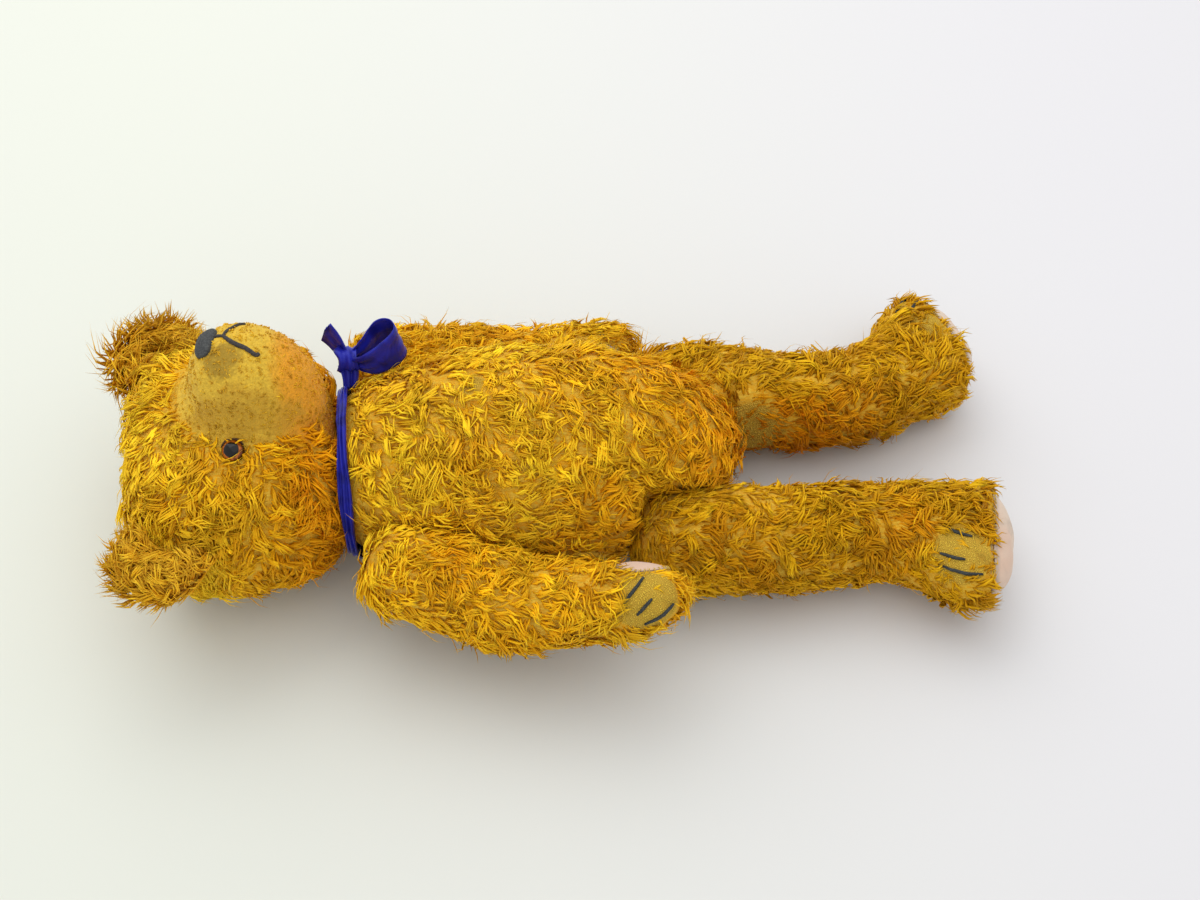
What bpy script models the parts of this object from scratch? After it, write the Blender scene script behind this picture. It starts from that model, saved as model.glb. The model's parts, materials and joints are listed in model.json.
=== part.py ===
"""Threadbare teddy bear: a jointed mohair bear, lying on its back.

Metres. +X runs from the head to the feet, +Y to the bear's left, +Z up through its belly.
The table top is z = 0, and the origin lies on it, under the bear's waist.

The bear is built as it comes apart on a bench: sewn mohair covers, the stuffing in them, felt pads,
glass eyes, stitched nose and mouth, a ribbon, and five disc joints. In each joint a split cotter pin
passes through two hardboard discs and two steel washers, and squeezes the two covers together.
"""
from dataclasses import dataclass
from math import copysign, cos, hypot, pi, radians, sin

import bmesh
import bpy
from mathutils import Euler, Matrix, Vector

# ---- driving dimensions -------------------------------------------------------------------------
GAP = 0.0003            # left between pieces that touch
COVER = 0.0030          # mohair cloth with its flattened pile
SLACK = 0.0006          # between a cover and its stuffing
JOINT_GAP = 0.0004      # each cover's share of the gap between two joined covers

TORSO_Z = 0.0570        # height of the torso's and the neck's axis; the back is pressed flat on the table
TORSO_R = 0.0605        # widest radius
TORSO_WIDE_X = -0.024   # where it is widest
TORSO_NECK_LENGTH = 0.125   # reach of the chest curve, which the neck cuts short
TORSO_SEAT_LENGTH = 0.104   # from the widest place to the seat
CHEST_CURVE = (3.0, 0.42)   # powers of the outline towards the neck; (2, 0.5) would be an ellipse
SEAT_CURVE = (2.1, 0.55)    # and towards the seat
SEAT_END_R = 0.0060     # the small ring that closes the seat
SEAT_END_LENGTH = 0.0006
NECK_X = -0.1345        # plane between head and torso

HEAD_CENTRE = Vector((-0.1900, 0.0040, 0.0610))
HEAD_HALF = Vector((0.0565, 0.0680, 0.0570))
HEAD_END_POWER = 3.2    # above 2, the crown and the cheeks are squarer than a ball's
HEAD_POWER = 2.3        # and so is the section across them
NECK_R = 0.0310
HEAD_YAW = radians(4)   # the crown leans a little to the bear's right
MUZZLE_CENTRE = Vector((-0.1715, 0.0135, 0.1135))
MUZZLE_HALF = Vector((0.0335, 0.0340, 0.0445))
MUZZLE_TURN = Euler((radians(-4), radians(-27), 0))
EAR_PLACE = Vector((-0.0360, 0.0640, 0.0190))   # from the head's centre
EAR_HALF = Vector((0.0270, 0.0240, 0.0095))
EAR_TURN = radians(-38) # the ear is sewn across the head's corner
EAR_HOLLOW = Vector((0.0200, 0.0180, 0.0085))   # half sizes of the hollow in its front
EAR_HOLLOW_PLACE = Vector((0.0, 0.0020, 0.0105))    # from the ear's middle, outwards and to the front
EYE_PLACE = Vector((0.0050, 0.0300, 0.0))       # from the face's middle line
EYE_R = 0.0060
EYE_SUNK = 0.0010       # the eye's middle lies this far under the cloth
SOCKET_WALL = 0.0020    # cloth behind each eye
NOSE_HALF = Vector((0.0100, 0.0090, 0.0045))
MOUTH_THREAD = 0.0009   # radius of the mouth's thread
MOUTH_LIFT = 0.0015     # its middle lies this far over the muzzle
MOUTH_STEM = (0.28, 0.38, 0.50)     # shares of the muzzle's half length, from the nose to the chin
# the same, and shares of its half width to the bear's left, from the right end to the left one
MOUTH_SWEEP = (
    (0.80, -0.34), (0.72, -0.28), (0.60, -0.17), (0.50, -0.06), (0.48, 0.03), (0.52, 0.12), (0.60, 0.22),
)
FACE_Y = 0.0020         # the face's middle line, from the head's centre

ARM_LENGTH = 0.144      # from the shoulder pivot to the tip of the paw
LEG_LENGTH = 0.166      # from the hip pivot to the sole

DISC_THICK = 0.0030
DISC_HOLE = 0.0022
WASHER_R = 0.0080
WASHER_THICK = 0.0012
PIN_WIRE = 0.0008       # radius of the cotter pin's wire
PIN_HALF_GAP = 0.00095  # from the pin's middle to each leg's middle
PIN_CURL = 0.0028       # radius of the curled legs
PIN_EYE = 0.0024        # radius of the pin's eye
PIN_NECK = 0.0022       # from the washer to the eye
PIN_ROOM_R = 0.0075     # room in the stuffing for the pin's ends
PIN_ROOM_END = 0.0178
HOLE_REACH = 0.0120     # half length of the cutter for the pin's holes
DISC_START = JOINT_GAP + COVER + GAP            # distances from a joint's plane
WASHER_START = DISC_START + DISC_THICK + GAP
STACK_END = WASHER_START + WASHER_THICK
ROUND = 12              # sides of small round pieces
LIMB_POWER = 2.2        # a limb's section is a little boxier than an ellipse
BUTT_POWER = 2.6        # the end behind the pivot is blunter than a ball's
END_LEFT = 0.015        # share of the section's area that is left at the very end
SHOULDER_FLAT = 0.45    # share of a limb's width that is kept right to its end behind the pivot
END_SHARES = (0.0, 0.12, 0.45)  # places of the rings over a rounded end, as shares of its length
HIP_ROOM = 0.0330       # the flat for the thigh starts this far behind the hip pivot
PAW_PAD_X = 0.1180      # middle of the paw pad, from the shoulder pivot
PAW_PAD_HALF = Vector((0.0185, 0.0030, 0.0145))
SOLE_STEPS = ((GAP, 0.0015), (0.0018, 0.0015), (0.0040, 0.0060), (0.0052, 0.0140))  # bulge, and inset there

BAND_END = 0.0080       # the band reaches this far from the neck's plane
BAND_LOW, BAND_HIGH = 0.0010, 0.0028    # over the chest's curve, which sinks under the head
BOW_ANGLE = radians(50)     # place of the bow round the neck, from the front to the bear's left
BOW_R = 0.0560          # and its distance from the neck's axis
BOW_X = 0.0072          # and from the neck's plane
KNOT_HALF = Vector((0.0064, 0.0095, 0.0085))
ROOT_DEPTH = 0.0160     # reach of the knot's root down to the band
ROOT_HALF = (0.0050, 0.0030)        # its half width and half thickness
LOOP_R = 0.0165         # half length of the loop
LOOP_WIDE = 0.0095      # its half width, which its far end narrows
LOOP_TAPER = (1.2, 0.35)
LOOP_RISE = 0.0065      # half of what its far end stands higher
LOOP_STEPS = 12
SATIN_HALF_WIDE = (0.0095, 0.0058)  # half width of the loop and of the cut end
SATIN_HALF = 0.0005     # half thickness of a folded strip of satin
TAIL_REACH = (0.030, -0.004)        # of the cut end, outwards and aside


# ---- materials ----------------------------------------------------------------------------------
def material(name, colour, roughness, metallic=0.0):
    """Return the Principled BSDF material of one sub-part."""
    made = bpy.data.materials.new(name)
    made.use_nodes = True
    shader = made.node_tree.nodes["Principled BSDF"]
    shader.inputs["Base Color"].default_value = (*colour, 1.0)
    shader.inputs["Roughness"].default_value = roughness
    shader.inputs["Metallic"].default_value = metallic
    return made


MOHAIR = ((0.52, 0.29, 0.045), 0.85)
WOOD_WOOL = ((0.62, 0.50, 0.30), 0.95)
FELT = ((0.62, 0.46, 0.38), 0.95)
THREAD = ((0.02, 0.02, 0.03), 0.80)
SATIN = ((0.02, 0.03, 0.38), 0.35)
GLASS = ((0.45, 0.17, 0.02), 0.08)
HARDBOARD = ((0.30, 0.19, 0.10), 0.75)
STEEL = ((0.55, 0.55, 0.56), 0.35, 1.0)


# ---- building blocks ----------------------------------------------------------------------------
def node(name, mesh, look, parent=None):
    """Add one closed mesh, given in world space, as the sub-part `name` with its own material."""
    if parent is not None:
        mesh.transform(parent.matrix_world.inverted())
    mesh.name = name
    mesh.materials.clear()
    mesh.materials.append(material(name, *look))
    mesh.shade_smooth()
    mesh.set_sharp_from_angle(angle=radians(50))
    made = bpy.data.objects.new(name, mesh)
    bpy.context.scene.collection.objects.link(made)
    made.parent = parent
    return made


def pivot(name, frame):
    """Add an empty on a joint's axis, for the moving pieces to hang on."""
    made = bpy.data.objects.new(name, None)
    made.empty_display_size = 0.02
    made.matrix_world = frame
    bpy.context.scene.collection.objects.link(made)
    bpy.context.view_layer.update()
    return made


def finish(bm, frame=None):
    """Turn a bmesh into a mesh with its faces out, moved by `frame`."""
    if frame is not None:
        bmesh.ops.transform(bm, matrix=frame, verts=bm.verts)
    bmesh.ops.recalc_face_normals(bm, faces=bm.faces)
    mesh = bpy.data.meshes.new("shape")
    bm.to_mesh(mesh)
    bm.free()
    return mesh


def combine(mesh, operation, tools):
    """Return `mesh` after one exact Boolean with each tool mesh, which is used up."""
    base = bpy.data.objects.new("base", mesh)
    bpy.context.scene.collection.objects.link(base)
    helpers = []
    for tool in tools:
        helper = bpy.data.objects.new("helper", tool)
        helper.hide_render = True
        helper.display_type = "WIRE"
        bpy.context.scene.collection.objects.link(helper)
        helpers.append(helper)
        step = base.modifiers.new("cut", "BOOLEAN")
        step.operation = operation
        step.solver = "EXACT"
        step.object = helper
    bpy.context.view_layer.update()
    graph = bpy.context.evaluated_depsgraph_get()
    result = bpy.data.meshes.new_from_object(base.evaluated_get(graph))
    for made in [base, *helpers]:
        bpy.data.objects.remove(made)
    return result


def cut(mesh, *tools):
    """Take the tool meshes away from `mesh`."""
    return combine(mesh, "DIFFERENCE", tools)


def join(mesh, *tools):
    """Fuse the tool meshes to `mesh`."""
    return combine(mesh, "UNION", tools)


def smooth(stations, at):
    """Read a value between (place, value) stations on a curve that runs smoothly through them."""
    places = [s[0] for s in stations]
    values = [s[1] for s in stations]
    if at <= places[0]:
        return values[0]
    if at >= places[-1]:
        return values[-1]
    i = max(k for k in range(len(places) - 1) if places[k] <= at)

    def slope(k):
        lo, hi = max(k - 1, 0), min(k + 1, len(places) - 1)
        return (values[hi] - values[lo]) / (places[hi] - places[lo])

    span = places[i + 1] - places[i]
    t = (at - places[i]) / span
    return (
        values[i] * (2 * t**3 - 3 * t**2 + 1)
        + values[i + 1] * (3 * t**2 - 2 * t**3)
        + slope(i) * span * (t**3 - 2 * t**2 + t)
        + slope(i + 1) * span * (t**3 - t**2)
    )


@dataclass(frozen=True)
class Ring:
    """One cross-section of a soft shape, across its length.

    middle: its centre. wide: half width across y. front and back: reach along +z and -z.
    roll turns it about x, pitch about y. power above 2 makes it boxier.
    """

    middle: Vector
    wide: float
    front: float
    back: float
    roll: float = 0.0
    pitch: float = 0.0
    power: float = 2.0

    def outline(self, sides):
        """Return the points round the section."""
        turn = Matrix.Rotation(self.roll, 3, "X") @ Matrix.Rotation(self.pitch, 3, "Y")
        points = []
        for k in range(sides):
            angle = 2 * pi * (k + 0.5) / sides
            c, s = cos(angle), sin(angle)
            y = self.wide * (abs(c) ** (2 / self.power)) * (1 if c > 0 else -1)
            reach = self.front if s > 0 else self.back
            z = reach * (abs(s) ** (2 / self.power)) * (1 if s > 0 else -1)
            points.append(self.middle + turn @ Vector((0, y, z)))
        return points

    def grown(self, by):
        """Return the same section, larger by `by` all round."""
        return Ring(
            self.middle, self.wide + by, self.front + by, self.back + by, self.roll, self.pitch, self.power
        )


def shrunk(mesh, by):
    """Return a copy of a closed surface with its skin moved in by `by`."""
    bm = bmesh.new()
    bm.from_mesh(mesh)
    bm.normal_update()
    places = [vert.co - by * vert.normal for vert in bm.verts]
    for vert, place in zip(bm.verts, places):
        vert.co = place
    return finish(bm)


def skin(outlines):
    """Skin a row of closed outlines with equal counts of points, and close both ends."""
    bm = bmesh.new()
    loops = []
    for outline in outlines:
        made = bmesh.ops.create_circle(bm, segments=len(outline), radius=1.0)["verts"]
        for vert, point in zip(made, outline):
            vert.co = point
        loops.append([bm.edges.get((made[k - 1], made[k])) for k in range(len(outline))])
    for near, far in zip(loops, loops[1:]):
        bmesh.ops.bridge_loops(bm, edges=near + far)
    for end in (loops[0], loops[-1]):
        bmesh.ops.contextual_create(bm, geom=end)
    return bm


def loft(rings, sides):
    """Skin the rings from first to last."""
    return skin([ring.outline(sides) for ring in rings])


def axis_frame(place, axis, along):
    """Return a frame at `place` with +y on `axis` and +x as near to `along` as it can be."""
    y = axis.normalized()
    x = (along - along.dot(y) * y).normalized()
    z = x.cross(y)
    return Matrix.Translation(place) @ Matrix((x, y, z)).transposed().to_4x4()


def cylinder(frame, radius, low, high, sides=ROUND):
    """Return a cylinder on the frame's y axis, from y = low to y = high."""
    bm = bmesh.new()
    turn = Matrix.Rotation(-pi / 2, 4, "X")
    bmesh.ops.create_cone(
        bm, cap_ends=True, segments=sides, radius1=radius, radius2=radius, depth=high - low,
        matrix=Matrix.Translation((0, (low + high) / 2, 0)) @ turn,
    )
    return finish(bm, frame)


def box(frame, low, high):
    """Return a box between two corners given in `frame`."""
    bm = bmesh.new()
    size = Vector(high) - Vector(low)
    middle = (Vector(high) + Vector(low)) / 2
    bmesh.ops.create_cube(bm, size=1.0, matrix=Matrix.Translation(middle) @ Matrix.Diagonal((*size, 1)))
    return finish(bm, frame)


def ellipsoid(centre, half, turn=None, segments=12, rings=8):
    """Return a rounded lump with the given half sizes."""
    bm = bmesh.new()
    bmesh.ops.create_uvsphere(bm, u_segments=segments, v_segments=rings, radius=1.0)
    bmesh.ops.scale(bm, vec=half, verts=bm.verts)
    frame = Matrix.Translation(centre)
    if turn is not None:
        frame = frame @ turn.to_matrix().to_4x4()
    return finish(bm, frame)


def tube(points, radius):
    """Return a thin four-sided wire along the points, with closed ends."""
    curve = bpy.data.curves.new("wire", "CURVE")
    curve.dimensions = "3D"
    curve.bevel_depth = radius
    curve.bevel_resolution = 0
    curve.use_fill_caps = True
    line = curve.splines.new("POLY")
    line.points.add(len(points) - 1)
    for place, point in zip(line.points, points):
        place.co = (*point, 1.0)
    holder = bpy.data.objects.new("wire", curve)
    bpy.context.scene.collection.objects.link(holder)
    bpy.context.view_layer.update()
    graph = bpy.context.evaluated_depsgraph_get()
    mesh = bpy.data.meshes.new_from_object(holder.evaluated_get(graph))
    bpy.data.objects.remove(holder)
    bm = bmesh.new()
    bm.from_mesh(mesh)
    bmesh.ops.remove_doubles(bm, verts=bm.verts, dist=0.00001)
    return finish(bm)


# ---- disc joints --------------------------------------------------------------------------------
@dataclass(frozen=True)
class DiscJoint:
    """One disc joint. Its frame has y on the axis, and y * side runs from the torso into the limb."""

    name: str
    frame: Matrix
    side: int
    limb_disc: float
    torso_disc: float

    def bar(self, radius, low, high, sides=ROUND):
        """Return a cylinder on the axis, from `low` to `high` on the limb's side of the joint."""
        return cylinder(self.frame, radius, *sorted((self.side * low, self.side * high)), sides)

    def ring(self, radius, low, high):
        """Return a flat round piece with the pin's hole in it."""
        sides = ROUND if radius > WASHER_R else 8
        return cut(self.bar(radius, low, high, sides), self.bar(DISC_HOLE, low - 0.001, high + 0.001, 8))

    def hole(self):
        """Return the cutter for the pin's hole through both covers."""
        return self.bar(DISC_HOLE, -HOLE_REACH, HOLE_REACH, 8)

    def pocket(self, into, radius):
        """Return cutters for the disc, washer and pin end; `into` is 1 in the limb and -1 in the torso."""
        steps = ((radius + 2 * GAP, STACK_END + GAP), (PIN_ROOM_R, PIN_ROOM_END))
        return [self.bar(wide, 0.0, into * deep) for wide, deep in steps]

    def build(self, limb_name, parent):
        """Add the two discs, the two washers and the cotter pin."""
        disc_end = DISC_START + DISC_THICK
        node(f"{limb_name}_disc", self.ring(self.limb_disc, DISC_START, disc_end), HARDBOARD, parent)
        node(f"{limb_name}_washer", self.ring(WASHER_R, WASHER_START, STACK_END), STEEL, parent)
        node(f"{self.name}_cotter_pin", self.pin(), STEEL, parent)
        node(f"torso_{self.name}_disc", self.ring(self.torso_disc, -disc_end, -DISC_START), HARDBOARD)
        node(f"torso_{self.name}_washer", self.ring(WASHER_R, -STACK_END, -WASHER_START), STEEL)

    def pin(self):
        """Return the split pin: an eye on the limb's side and two legs curled over on the torso's."""
        seat = STACK_END + PIN_WIRE + GAP
        curl = [
            (PIN_HALF_GAP + PIN_CURL * (1 - cos(a)), -seat - PIN_CURL * sin(a))
            for a in (radians(150), radians(100), radians(50))
        ]
        straight = [(PIN_HALF_GAP, -seat), (PIN_HALF_GAP, seat)]
        eye_middle = seat + PIN_NECK + PIN_EYE
        eye = [(PIN_EYE * sin(a), eye_middle - PIN_EYE * cos(a)) for a in (radians(60), radians(110), radians(155))]
        leg = curl + straight + eye
        path = leg + [(0.0, eye_middle + PIN_EYE)] + [(-x, y) for x, y in reversed(leg)]
        return tube([self.frame @ Vector((x, self.side * y, 0)) for x, y in path], PIN_WIRE)


# ---- torso --------------------------------------------------------------------------------------
def torso_radius(x):
    """Return the egg's radius at x."""
    if x > TORSO_WIDE_X:
        u = min((x - TORSO_WIDE_X) / TORSO_SEAT_LENGTH, 1.0)
        power, blunt = SEAT_CURVE
        return TORSO_R * (1 - u**power) ** blunt
    u = (TORSO_WIDE_X - x) / TORSO_NECK_LENGTH
    power, blunt = CHEST_CURVE
    return TORSO_R * (1 - u**power) ** blunt


def torso_shape(inset=0.0, sides=18):
    """Return the egg-shaped trunk, with its back pressed flat and every surface in by `inset`."""
    neck = NECK_X + JOINT_GAP + inset
    seat = TORSO_WIDE_X + TORSO_SEAT_LENGTH - inset
    places = [neck + (TORSO_WIDE_X - neck) * (1 - cos(pi / 2 * k / 4)) for k in range(4)]
    places += [TORSO_WIDE_X + (seat - TORSO_WIDE_X) * sin(pi / 2 * k / 6) for k in range(6)]
    places.append(seat - SEAT_END_LENGTH)
    rings = []
    for x in places:
        along = copysign(inset / 2, x - TORSO_WIDE_X)   # the outline slants, so its inset runs along it too
        r = max(torso_radius(min(x + along, seat)) - inset, SEAT_END_R)
        rings.append(Ring(Vector((x, 0, TORSO_Z)), r, r, r))
    bm = loft(rings, sides)
    for vert in bm.verts:
        vert.co.z = max(vert.co.z, inset)
    return finish(bm)


# ---- limbs --------------------------------------------------------------------------------------
@dataclass(frozen=True)
class Limb:
    """A stuffed limb in its pivot's frame: x along it, y out of the body on `side`, z to its front.

    Each shape is a curve of (place along the limb, value).
    """

    side: int
    start: float
    end: float
    thick: tuple        # half width across y
    front: tuple
    back: tuple
    rise: tuple         # height of the middle line
    shift: tuple        # reach of the middle line along the rolled front
    press: tuple        # depth lost on the inner side, where the limb is pressed to the torso
    twist: tuple        # roll about the limb's length, outwards
    pitch: tuple
    tip: float          # length over which the end rounds off
    rings: int
    sides: int

    @staticmethod
    def rounding(share, power):
        """Return how wide the limb still is at `share` of the way over a rounded end."""
        return max(1 - share**power, END_LEFT) ** 0.5

    def section(self, x, inset):
        """Return the cross-section at x, in by `inset`: the limb rounds off behind its pivot and at its tip."""
        first, last = self.start + inset, self.end - inset
        shrink = flat_share = 1.0
        if x < 0:
            shrink = self.rounding(x / first, BUTT_POWER)
            flat_share = SHOULDER_FLAT / shrink + 1 - SHOULDER_FLAT
        if self.tip and x > last - self.tip:
            shrink = self.rounding(1 - (last - x) / self.tip, 2.0)
        wide = (smooth(self.thick, x) - inset) * shrink * flat_share
        out = JOINT_GAP + smooth(self.thick, x) - smooth(self.press, x)
        roll = -self.side * radians(smooth(self.twist, x))
        middle = Vector((x, self.side * out, smooth(self.rise, x)))
        middle += Matrix.Rotation(roll, 3, "X") @ Vector((0, 0, smooth(self.shift, x)))
        front, back = ((smooth(reach, x) - inset) * shrink for reach in (self.front, self.back))
        return Ring(middle, wide, front, back, roll, radians(smooth(self.pitch, x)), LIMB_POWER)

    def places(self, inset):
        """Return where the rings lie, in by `inset`: closer together over the rounded ends."""
        first, last = self.start + inset, self.end - inset
        near = [first * (1 - share) for share in END_SHARES]
        far = [last - share * self.tip for share in reversed(END_SHARES)] if self.tip else [last]
        belly_end = last - self.tip if self.tip else last
        steps = self.rings - len(near) - len(far)
        middle = [belly_end * k / steps for k in range(steps + (1 if self.tip else 0))]
        return near + middle + far

    def shape(self, frame, inset=0.0):
        """Return the limb's closed surface in world space, flat where it meets the torso."""
        bm = loft([self.section(x, inset) for x in self.places(inset)], self.sides)
        for vert in bm.verts:
            vert.co.y = self.side * max(self.side * vert.co.y, JOINT_GAP + inset)
        bmesh.ops.triangulate(bm, faces=bm.faces)
        return finish(bm, frame)


ARM = dict(
    start=-0.026, end=ARM_LENGTH,
    thick=((0.0, 0.0245), (0.035, 0.0265), (0.070, 0.0245), (0.105, 0.0195), (ARM_LENGTH, 0.0185)),
    front=((0.0, 0.0260), (0.035, 0.0250), (0.070, 0.0235), (0.105, 0.0200), (ARM_LENGTH, 0.0210)),
    back=((0.0, 0.0260), (0.035, 0.0265), (0.070, 0.0250), (0.105, 0.0200), (ARM_LENGTH, 0.0200)),
    rise=((0.0, 0.0), (0.035, -0.004), (0.070, -0.006), (0.105, 0.002), (ARM_LENGTH, 0.013)),
    shift=((0.0, 0.0), (ARM_LENGTH, 0.0)),
    press=((0.0, 0.0080), (0.020, 0.0080), (0.050, 0.0040), (0.090, 0.0)),
    twist=((0.0, 0.0), (0.070, 10.0), (0.105, 35.0), (ARM_LENGTH, 45.0)),
    pitch=((0.0, 0.0), (ARM_LENGTH, 0.0)),
    tip=0.022, rings=10, sides=12,
)


def leg_spec(twist, dorsiflex, shift):
    """Return a leg whose foot is rolled out and tipped back, in degrees, and set forward by `shift`."""
    return dict(
        start=-0.031, end=LEG_LENGTH,
        thick=(
            (0.0, 0.0290), (0.040, 0.0300), (0.080, 0.0275), (0.110, 0.0250), (0.130, 0.0255),
            (LEG_LENGTH, 0.0260),
        ),
        front=(
            (0.0, 0.0310), (0.040, 0.0300), (0.080, 0.0265), (0.108, 0.0270), (0.128, 0.0420),
            (0.148, 0.0550), (LEG_LENGTH, 0.0530),
        ),
        back=((0.0, 0.0310), (0.040, 0.0290), (0.080, 0.0260), (0.110, 0.0250), (LEG_LENGTH, 0.0270)),
        rise=((0.0, 0.0), (LEG_LENGTH, 0.0)),
        shift=((0.0, 0.0), (0.105, 0.0), (0.130, 0.45 * shift), (LEG_LENGTH, shift)),
        press=((0.0, 0.0080), (0.025, 0.0080), (0.060, 0.0030), (0.090, 0.0)),
        twist=((0.0, 0.0), (0.030, 0.1 * twist), (0.100, 0.9 * twist), (0.120, twist), (LEG_LENGTH, twist)),
        pitch=((0.0, 0.0), (0.100, 0.0), (LEG_LENGTH, dorsiflex)),
        tip=0.0, rings=11, sides=14,
    )


# ---- head ---------------------------------------------------------------------------------------
def neck_frame():
    """Return the neck joint's frame, its y from the torso into the head."""
    return axis_frame(Vector((NECK_X, 0, TORSO_Z)), Vector((-1, 0, 0)), Vector((0, 1, 0)))


def head_frame():
    """Return the head's own frame, leaning with the crown."""
    return Matrix.Translation(HEAD_CENTRE) @ Matrix.Rotation(HEAD_YAW, 4, "Z")


def skull_shape(inset, segments, rings):
    """Return the skull: a ball squared towards the crown and the cheeks, in by `inset`."""
    bm = bmesh.new()
    poles = Matrix.Rotation(pi / 2, 4, "Y")
    bmesh.ops.create_uvsphere(bm, u_segments=segments, v_segments=rings, radius=1.0, matrix=poles)
    for vert in bm.verts:
        x, y, z = vert.co
        round_off = max(hypot(y, z), 1e-9)
        reach = round_off ** (2 / HEAD_END_POWER)
        power = 2 / HEAD_POWER
        vert.co.x = copysign(abs(x) ** (2 / HEAD_END_POWER), x) * (HEAD_HALF.x - inset)
        vert.co.y = copysign(abs(y / round_off) ** power, y) * reach * (HEAD_HALF.y - inset)
        vert.co.z = copysign(abs(z / round_off) ** power, z) * reach * (HEAD_HALF.z - inset)
    return finish(bm, head_frame())


def head_shape(inset=0.0, segments=18, rings=12):
    """Return the skull, muzzle and neck as one surface, flat at the neck, in by `inset`."""
    less = Vector((inset, inset, inset))
    muzzle = ellipsoid(MUZZLE_CENTRE, MUZZLE_HALF - less, MUZZLE_TURN, 14, 10)
    neck_end = NECK_X - JOINT_GAP - inset
    neck = cylinder(neck_frame(), NECK_R - inset, 0.0, 0.020, 16)
    beyond = box(Matrix.Identity(4), (neck_end, -0.2, -0.1), (neck_end + 0.1, 0.2, 0.3))
    return cut(join(skull_shape(inset, segments, rings), muzzle, neck), beyond)


def on_muzzle(chin, left, lift):
    """Return a point on the muzzle, `chin` and `left` being shares of its half size, raised by `lift`."""
    up = (1 - chin**2 - left**2) ** 0.5
    half = MUZZLE_HALF + Vector((lift, lift, lift))
    place = Vector((chin * half.x, left * half.y, up * half.z))
    return MUZZLE_CENTRE + MUZZLE_TURN.to_matrix() @ place


def eye(side, grow=0.0):
    """Return a glass eye, or its socket when grown, half sunk in the skull's front."""
    x, y = EYE_PLACE.x, side * EYE_PLACE.y + FACE_Y
    across = (1 - abs(x / HEAD_HALF.x) ** HEAD_END_POWER) ** (1 / HEAD_END_POWER)
    z = HEAD_HALF.z * (across**HEAD_POWER - abs(y / HEAD_HALF.y) ** HEAD_POWER) ** (1 / HEAD_POWER)
    half = Vector((EYE_R, EYE_R, 0.75 * EYE_R)) + Vector((grow, grow, grow))
    return ellipsoid(head_frame() @ Vector((x, y, z - EYE_SUNK)), half, segments=8, rings=6)


def build_head(joint, parent):
    """Add the head's cover, stuffing, ears, eyes, nose and mouth."""
    inner = cut(head_shape(COVER, 14, 10), *[eye(side, SOCKET_WALL) for _, side in SIDES])
    cover = cut(head_shape(), inner, joint.hole(), *[eye(side, GAP) for _, side in SIDES])
    node("head_cover", cover, MOHAIR, parent)
    room = [eye(side, SOCKET_WALL + 2 * SLACK) for _, side in SIDES]
    stuffing = cut(head_shape(COVER + 2 * SLACK, 14, 10), *room, *joint.pocket(1, joint.limb_disc))
    node("head_stuffing", stuffing, WOOD_WOOL, parent)
    for name, side in SIDES:
        node(f"{name}_eye", eye(side), GLASS, parent)
        node(f"{name}_ear", ear_shape(side), MOHAIR, parent)
    nose = ellipsoid(on_muzzle(-0.02, -0.02, 0.0), NOSE_HALF, MUZZLE_TURN, 10, 6)
    node("nose_stitching", cut(nose, head_shape(-GAP)), THREAD, parent)
    node("mouth_stitching", mouth_shape(), THREAD, parent)


def ear_shape(side):
    """Return one ear: a thick rounded flap, hollowed in front, sewn across the head's corner."""
    place = Vector((EAR_PLACE.x, side * EAR_PLACE.y, EAR_PLACE.z))
    frame = head_frame() @ Matrix.Translation(place) @ Matrix.Rotation(side * EAR_TURN, 4, "Z")
    flap = ellipsoid(Vector(), EAR_HALF, segments=12, rings=8)
    x, y, z = EAR_HOLLOW_PLACE
    flap = cut(flap, ellipsoid(Vector((x, side * y, z)), EAR_HOLLOW, segments=10, rings=6))
    flap.transform(frame)
    return cut(flap, head_shape(-GAP))


def mouth_shape():
    """Return the mouth: a short line from the nose that parts into two."""
    stem = tube([on_muzzle(chin, 0.0, MOUTH_LIFT) for chin in MOUTH_STEM], MOUTH_THREAD)
    return join(tube([on_muzzle(chin, left, MOUTH_LIFT) for chin, left in MOUTH_SWEEP], MOUTH_THREAD), stem)


# ---- torso and limbs ----------------------------------------------------------------------------
def seats(joints, grow):
    """Return cutters that press a flat into the torso for each limb, `grow` deeper than its surface."""
    made = []
    for joint in joints:
        start = -(HIP_ROOM if "hip" in joint.name else 0.2) - grow
        low, high = sorted((joint.side * (-JOINT_GAP - grow), joint.side * 0.1))
        made.append(box(joint.frame, (start, low, -0.2), (0.2, high, 0.2)))
    return made


def build_torso(neck, joints):
    """Add the torso's cover and stuffing."""
    inner = cut(torso_shape(COVER, 14), *seats(joints, COVER))
    cover = cut(cut(torso_shape(), *seats(joints, 0.0)), inner, *[j.hole() for j in [neck, *joints]])
    node("torso_cover", cover, MOHAIR)
    stuffing = cut(torso_shape(COVER + 2 * SLACK, 14), *seats(joints, COVER + 2 * SLACK))
    pockets = [p for j in [neck, *joints] for p in j.pocket(-1, j.torso_disc)]
    node("torso_stuffing", cut(stuffing, *pockets), WOOD_WOOL)


def build_limb(name, joint, limb, pad, parent):
    """Add one limb's cover, stuffing and pad."""
    cover = cut(limb.shape(joint.frame), limb.shape(joint.frame, COVER), joint.hole())
    node(f"{name}_cover", cover, MOHAIR, parent)
    stuffing = cut(shrunk(limb.shape(joint.frame, COVER), SLACK), *joint.pocket(1, joint.limb_disc))
    node(f"{name}_stuffing", stuffing, WOOD_WOOL, parent)
    node(f"{name.replace('arm', 'paw').replace('leg', 'foot')}_pad", pad, FELT, parent)


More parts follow.
